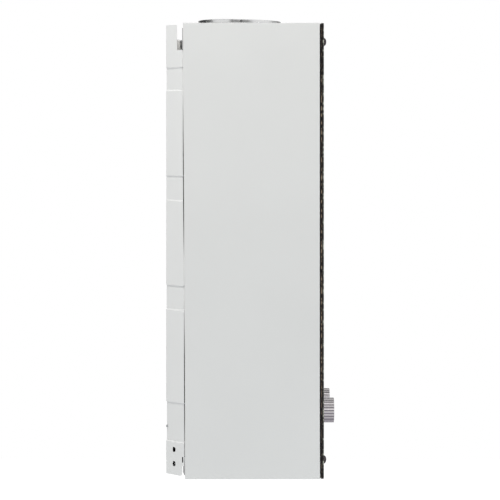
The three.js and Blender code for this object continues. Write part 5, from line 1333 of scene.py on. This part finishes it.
def bare_material(name):
    """A material without its usual shader, with its nodes and the socket for its surface."""
    material = bpy.data.materials.new(name)
    material.use_nodes = True
    nodes = Nodes(material.node_tree)
    nodes.tree.nodes.clear()
    return material, nodes, nodes.node("ShaderNodeOutputMaterial").inputs["Surface"]


def grid(name, size, segments):
    bm = bmesh.new()
    bmesh.ops.create_grid(bm, x_segments=segments, y_segments=segments, size=size)
    made = link(bm)
    made.name = name
    return made


def set_floor():
    """Pale floor that a camera, gloss or glass sees as white, and that keeps shadows."""
    material, nodes, surface = bare_material("pale_floor")
    diffuse = nodes.node("ShaderNodeBsdfDiffuse")
    diffuse.inputs["Color"].default_value = (0.8, 0.8, 0.8, 1)
    glow = nodes.node("ShaderNodeEmission")
    nodes.join(nodes.calc("MULTIPLY", nodes.seen_directly(), FLOOR_GLOW), glow.inputs["Strength"])
    total = nodes.node("ShaderNodeAddShader")
    nodes.join(diffuse.outputs[0], total.inputs[0])
    nodes.join(glow.outputs[0], total.inputs[1])
    nodes.join(total.outputs[0], surface)
    floor = grid("floor", 30.0, 8)
    floor.location.z = FLOOR_LEVEL
    floor.data.materials.append(material)


def set_world():
    """White to the camera and in reflections, about half as bright as a light."""
    world = bpy.data.worlds.new("studio")
    scene.world = world
    world.use_nodes = True
    nodes = Nodes(world.node_tree)
    back = nodes.tree.nodes["Background"]
    nodes.join(nodes.spread(nodes.seen_directly(), WORLD_LIGHT, 1.0, 0.0, 1.0), back.inputs["Strength"])
    back.inputs["Color"].default_value = (1, 1, 1, 1)


def area_light(name, place, aim, size, power, color=(1, 1, 1)):
    light = bpy.data.lights.new(name, "AREA")
    light.shape, light.size, light.size_y = "RECTANGLE", size[0], size[1]
    light.energy, light.color = power, color
    lamp = bpy.data.objects.new(name, light)
    scene.collection.objects.link(lamp)
    lamp.location = place
    lamp.visible_camera = lamp.visible_glossy = False
    lamp.rotation_euler = (Vector(aim) - Vector(place)).to_track_quat("-Z", "Y").to_euler()


def card(name, centre, aim, width, height, *tone):
    """A flag that only reflections see, grey or in three tones."""
    flag = grid(name, 0.5, 1)
    flag.scale = (width, height, 1)
    flag.location = centre
    flag.rotation_euler = (Vector(aim) - Vector(centre)).to_track_quat("Z", "Y").to_euler()
    material, nodes, surface = bare_material(name)
    glow = nodes.node("ShaderNodeEmission")
    glow.inputs["Color"].default_value = (*(tone if len(tone) == 3 else tone * 3), 1)
    nodes.join(glow.outputs[0], surface)
    flag.data.materials.append(material)
    flag.visible_camera = flag.visible_diffuse = flag.visible_shadow = False
    flag.visible_transmission = flag.visible_volume_scatter = False


def set_camera():
    camera = bpy.data.cameras.new("camera")
    camera.lens, camera.sensor_width = LENS, SENSOR
    camera.shift_x, camera.shift_y = SHIFT
    camera.clip_end = 100
    eye = bpy.data.objects.new("camera", camera)
    scene.collection.objects.link(eye)
    eye.location = EYE
    eye.rotation_euler = (math.pi / 2, 0, -math.pi / 2)
    scene.camera = eye


set_camera()
scene.view_settings.view_transform = "Standard"
set_floor()
set_world()
card("flag_before_ring", (-0.75, -0.13, 0.34), (0, -0.09, 0.29), 0.8, 0.3, 0.12)
card("flag_wall_side_near", (0.3, 3.0, 0.6), SIDE_PANEL, 1.9, 3.4, 0.12)
card("flag_wall_side_far", (1.9, 2.2, 0.6), SIDE_PANEL, 2.4, 3.4, 0.03)
card("flag_front_side_near", (0.75, -3.0, 0.6), SIDE_PANEL, 1.0, 3.4, 0.5)
card("flag_front_side_far", (2.1, -2.2, 0.6), SIDE_PANEL, 2.0, 3.4, 0.14)
card("flag_above", (0.7, -0.2, 2.6), (0.1, -0.2, -0.2), 2.6, 2.6, 0.1)
card("table_card", (-1.2, -0.3, -0.75), (-1.2, -0.3, 1), 3.4, 3.0, 0.41, 0.4, 0.44)
area_light("upper_left", (-2.5, 1.5, 2.5), (0, -0.1, 0.15), (1.6, 1.6), 5, (1.0, 0.995, 0.98))
area_light("above_near", (-0.95, 0.15, 1.1), (0, -0.09, 0.1), (0.8, 0.8), 8.4, (1.0, 0.985, 0.955))
area_light("wall_side", (-1.3, 2.9, 1.3), (0, 0, 0.1), (1.2, 1.6), 12)
area_light("front_fill", (-0.9, -3.0, 1.6), (0, -0.1, 0), (1.6, 1.6), 40)
area_light("low_fill", (-0.75, -0.15, -0.75), (0, -0.1, -0.3), (0.6, 0.8), 1.6, (0.9, 0.96, 1.0))

front_cover()
front_glass()
glass_gasket()
glass_screws()
cover_screws()
knob(-KNOB_ACROSS, "gas_knob", "gas_control")
knob(KNOB_ACROSS, "water_knob", "water_control")
glass_print()
back_plate()
cover_hems()
flue_collar()
flue_hood()
hood_bracket()
exchanger_shell()
fin_core()
chamber_coil()
hot_pipe()
cut_out("overheat_thermostat", 0, SHELL_FRONT + SEAT, PASS_HEIGHT + 10)
cut_out("flue_switch", 60, 151.3, HOOD_TOP - 32.5)
strap("exchanger_upper_bracket", SHELL_REAR - SEAT, PASS_HEIGHT + 5)
strap("exchanger_lower_bracket", SHELL_REAR - SEAT, SHELL_BOTTOM + 4)
strap("burner_bracket", 38 - SEAT, 240.02)
from_cad("burner_frame", ZINC, 0.25)
burner_bars()
gas_manifold()
gas_riser()
electrode("spark_electrode", -ELECTRODE_ACROSS, 12)
electrode("flame_sensor", ELECTRODE_ACROSS, 6)
elbow("gas_inlet_elbow", -KNOB_ACROSS, ALUMINIUM)
elbow("cold_inlet_elbow", KNOB_ACROSS, BRASS)
outlet_fitting()
lock_nuts()
fitting_shelf()
gas_valve()
gas_solenoid()
water_valve()
diaphragm_parts()
push_rod()
spindles()
drain_handle()
from_cad("microswitch", BLACK, 0.35)
from_cad("microswitch_lever", STEEL, 0.12, "lever")
from_cad("display_module", BLACK, 0.3)
control_box()
from_cad("battery_box", BLACK, 0.3)
from_cad("battery_lid", BLACK, 0.35, "lid")
battery_cells()
